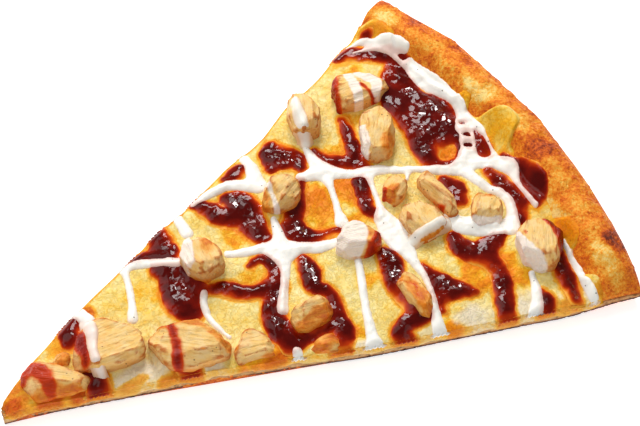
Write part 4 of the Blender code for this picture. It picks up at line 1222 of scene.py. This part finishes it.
def build_cheese(top, stain):
    """A fine skin of cheese whose sides hang over the cut dough."""
    columns, inner_rows, side_rows = 330, 190, 7
    step = np.linspace(-1, 1, inner_rows)
    turn = step * (1.3 - 0.3 * step * step)
    drop = np.linspace(1, 0, side_rows, endpoint=False)
    turn = np.concatenate([np.full(side_rows, -1.0), turn, np.full(side_rows, 1.0)])
    drop = np.concatenate([drop, np.zeros(inner_rows), drop[::-1]])[:, None]
    share = np.linspace(0, 1, columns)[None, :]
    bearing = turn[:, None] * HALF_ANGLE
    start = POINT_RADIUS + 0.5
    radius = blend(start, cheese_radius(bearing), share)
    x, y = in_plan(radius, turn[:, None])
    z = sample(top, x, y)
    base = dough_top(x, y)
    side = np.sign(turn)[:, None] * (drop > 0)
    low = base - 0.5 - 1.7 * smooth(0.5 + wander(radius, side * 9, 7, 61, 2))
    hang = blend(z, low, drop**0.8)
    at_rim = smooth((1 - share) * (cheese_radius(bearing) - start) / 2.2)
    z = np.where(drop > 0, hang, z)
    z = blend(base - 0.2, z, at_rim)
    z = blend(base + 0.3, z, smooth(share * 160 / 1.5))
    bulge = 0.5 * np.sin(math.pi * np.clip(drop, 0, 1)) * (1 + 0.5 * wander(radius, side * 5, 3, 62)) - 0.2
    rounding = np.where(drop > 0, bulge, -0.2) * (np.abs(turn[:, None]) == 1)
    x = x - math.sin(HALF_ANGLE) * rounding
    y = y + np.sign(turn)[:, None] * math.cos(HALF_ANGLE) * rounding
    points = np.stack([x, y, z], -1)
    gold = 0.26 + 0.2 * wander(x, y, 9, 71, 3) + 0.75 * patches(x, y, GOLD_SPOTS, 72, 0.6, 0.9)
    from_rim = (1 - share) * (cheese_radius(bearing) - start)
    gold = gold + 0.12 * smooth((np.hypot(x, y) - 158) / 6) + 0.3 * smooth((0.9 - from_rim) / 0.8)
    milk = patches(x, y, MILK_SPOTS, 73, 0.6, 0.9) + 0.2 * smooth((drop - 0.1) / 0.5)
    fields = {
        "gold": gold.ravel(), "milk": np.clip(milk, 0, 1).ravel(),
        "stain": (sample(stain, x, y) * (1 - 0.45 * drop)).ravel(),
    }
    rows = len(turn)
    faces = list(grid_faces(rows, columns))
    index = np.arange(rows * columns).reshape(rows, columns)
    rim = np.concatenate([index[0], index[1:-1, -1], index[-1, ::-1], index[-2:0:-1, 0]])
    under = points.reshape(-1, 3)[rim] * (1, 1, 0) + (0, 0, CHEESE_KEEL)
    under[:, 1] -= np.sign(under[:, 1]) * np.minimum(1.5, np.abs(under[:, 1]))
    below = np.arange(len(rim)) + rows * columns
    faces += [[rim[i - 1], rim[i], below[i], below[i - 1]] for i in range(len(rim))]
    faces.append(list(below[::-1]))
    points = np.vstack([points.reshape(-1, 3), under])
    fields = {key: np.concatenate([value, value[rim]]) for key, value in fields.items()}
    add_piece("cheese_skin", points, faces, CHEESE, ("cheese",), fields)


# ---------------------------------------------------------------- the whole slice

def cheese_stain(dark, to_near, to_far):
    """How much sauce has soaked into the cheese beside the drizzle, in spots and along the cuts."""
    spread = 1.5 + 1.2 * np.maximum(0, grid_wander(7, 98, 2))
    stain = 0.6 * smooth((spread - 0.4 - np.minimum(dark, 5)) / spread)
    stain = np.maximum(stain, 0.85 * patches(GRID_X, GRID_Y, SOAKED_SPOTS, 97, 0.5, 1.1))
    scorch = 0.5 * smooth((1.1 - to_far) / 0.9) + 0.25 * smooth((0.7 - to_near) / 0.6)
    return np.maximum(stain, scorch * (0.75 + 0.6 * grid_wander(6, 99, 2)))


def build_barbecue(dark, base, within, to_near, at_cut):
    """The dark sauce sheet. Returns how high it stands, for the white sauce to lie over."""
    pool = 1 + 0.35 * grid_wander(6.5, 91)
    inside = np.maximum(0, -dark)
    rise = 0.85 * (1 - np.exp(-inside / 1.3)) * pool * at_cut
    wrinkle = smooth((0.6 - strand_field(WRINKLES, 0.4)) / 1.1)
    folds = np.abs(grid_wander(2.2, 92)) - 0.3
    rise += 0.12 * wrinkle * folds * smooth(inside / 0.8) * at_cut
    clear = 0.8 + 3 * np.maximum(0, grid_wander(9, 95, 2) + 0.1)
    depth = (1 - np.exp(-inside / clear)) * np.clip(pool, 0.7, 1.3) * blend(0.45, 1, smooth(to_near / 3))
    sheet_piece("barbecue_drizzle", np.maximum(dark, within), base, rise, 0.5, BARBECUE,
                {"depth": depth, "wrinkle": wrinkle})
    return rise


def build_white(white, over, dark, base, over_base, within, at_cut):
    """The white net on the cheese, and the thick stripes that lie over chicken."""
    rise = 0.7 * np.sqrt(np.maximum(0, -white))
    blush = smooth((0.4 - dark) / 1.2) * smooth((1.7 + white) / 1.2)
    sheet_piece("white_drizzle", np.maximum(white, within), base, rise * at_cut, 0.6, WHITE,
                {"depth": rise, "blush": blush})
    over_rise = 0.42 * np.sqrt(np.maximum(0, -over))
    sheet_piece("white_on_chicken", np.maximum(over, within), over_base, over_rise, 0.5, WHITE,
                {"depth": 0.7 * over_rise, "blush": 0.5 * smooth((36 - GRID_X) / 3)})


def build_slice():
    """Lays out the sauces over the grid, then builds the dough, cheese, chicken and sauces in turn."""
    cheese_top = cheese_surface()
    shapes = build_chicken()
    meat = chicken_heights(shapes)
    cheese_top = cheese_top + 0.7 * blur((meat > 0).astype(float), 0.7)

    dark = ragged_field(BARBECUE_STRANDS, 0.7, 0.5, 81) - 0.5
    white = ragged_field(WHITE_STRANDS, 0.8, 0.22, 85)
    white = np.maximum(white, -strand_field(WHITE_GAPS, 0.3))
    white_over = ragged_field(WHITE_OVER, 0.5, 0.25, 87)
    film = ragged_field(SAUCE_FILMS, 0.5, 0.7, 83)
    amber = ragged_field(AMBER_FILMS, 0.5, 0.9, 89)
    veil = ragged_field(WHITE_VEILS, 0.5, 0.6, 91)
    to_near, to_far = (to_side(GRID_X, GRID_Y, side) for side in (NEAR, FAR))
    at_cut = blend(0.3, 1, smooth(np.minimum(to_near, to_far) / 1.6))

    build_crust(smooth((2.0 - np.minimum(dark, white)) / 1.6))
    build_cut_face("crust_cut_near", NEAR)
    build_cut_face("crust_cut_far", FAR)
    build_cheese(cheese_top, cheese_stain(dark, to_near, to_far))
    finish_chicken(shapes, film, amber, veil, dark)

    in_from_edge = cheese_radius(np.arctan2(GRID_Y, GRID_X)) - np.hypot(GRID_X, GRID_Y)
    cheese_top = blend(dough_top(GRID_X, GRID_Y), cheese_top, smooth(in_from_edge / 2.2))
    draped = np.maximum(cheese_top, np.where(meat > 0, meat + 0.05, 0))
    over_base = blur(np.maximum(draped, blur(draped, 0.8)), 0.5) + 0.2
    within = 0.35 - to_cut(GRID_X, GRID_Y)  # keeps the sauces off the cut sides
    dark_rise = build_barbecue(dark, cheese_top, within, to_near, at_cut)
    build_white(white, white_over, dark, cheese_top + 0.8 * dark_rise, over_base, within, at_cut)


# ---------------------------------------------------------------- floor, light and camera

FLOOR_DROP = 0.0002
WORLD_STRENGTH = 0.38
# Area lamps: azimuth and elevation in degrees, distance and size in metres, power in watts
LAMPS = {
    "key": (200, 50, 0.7, 0.45, 1.7),
    "fill": (-50, 40, 0.8, 0.5, 0.8),
    "glint": (150, 42, 0.7, 0.2, 3.1),
}
CAMERA_BEARING = (-32.857, 54.531)  # azimuth and elevation in degrees
CAMERA_DISTANCE = 500.0
CAMERA_TARGET = (109.43, 11.263, 0.0)
LENS, SENSOR = 96.95, 36


def toward(azimuth, elevation):
    """Unit vector at an azimuth from the near side, and an elevation, in degrees."""
    a, e = math.radians(azimuth), math.radians(elevation)
    return np.array([math.sin(a) * math.cos(e), -math.cos(a) * math.cos(e), math.sin(e)])


def add_aimed(name, data, location, back):
    """A lamp or camera at a place in metres, which looks along -back."""
    holder = bpy.data.objects.new(name, data)
    holder.location = Vector(location)
    holder.rotation_mode = "QUATERNION"
    holder.rotation_quaternion = (-Vector(back)).to_track_quat("-Z", "Y")
    bpy.context.scene.collection.objects.link(holder)
    return holder


def build_floor():
    bpy.ops.mesh.primitive_plane_add(size=6)
    floor = bpy.context.object
    floor.name = "floor"
    look = Finish("floor")
    look.set(Base_Color=(0.93, 0.93, 0.93, 1), Roughness=0.9, Specular_IOR_Level=0.1)
    look.set(Emission_Color=(1, 1, 1, 1), Emission_Strength=0.62)
    floor.data.materials.append(look.material)
    floor.location.z = -FLOOR_DROP


def build_light():
    world = bpy.data.worlds.new("studio")
    bpy.context.scene.world = world
    world.use_nodes = True
    background = world.node_tree.nodes["Background"]
    background.inputs["Color"].default_value = (1, 0.99, 0.97, 1)
    background.inputs["Strength"].default_value = WORLD_STRENGTH
    for name, (azimuth, elevation, distance, size, power) in LAMPS.items():
        lamp = bpy.data.lights.new(name, "AREA")
        lamp.size = size
        lamp.energy = power
        back = toward(azimuth, elevation)
        add_aimed(name, lamp, back * distance, back)


def build_camera():
    """Looks down across the slice from the near side, at a point a little beyond its middle."""
    back = toward(*CAMERA_BEARING)
    data = bpy.data.cameras.new("camera")
    data.lens, data.sensor_width, data.clip_start = LENS, SENSOR, 0.01
    place_at = place(np.array(CAMERA_TARGET) + back * CAMERA_DISTANCE)
    bpy.context.scene.camera = add_aimed("camera", data, place_at, back)


build_slice()
build_floor()
build_light()
build_camera()
bpy.context.scene.view_settings.view_transform = "Standard"
bpy.context.view_layer.update()
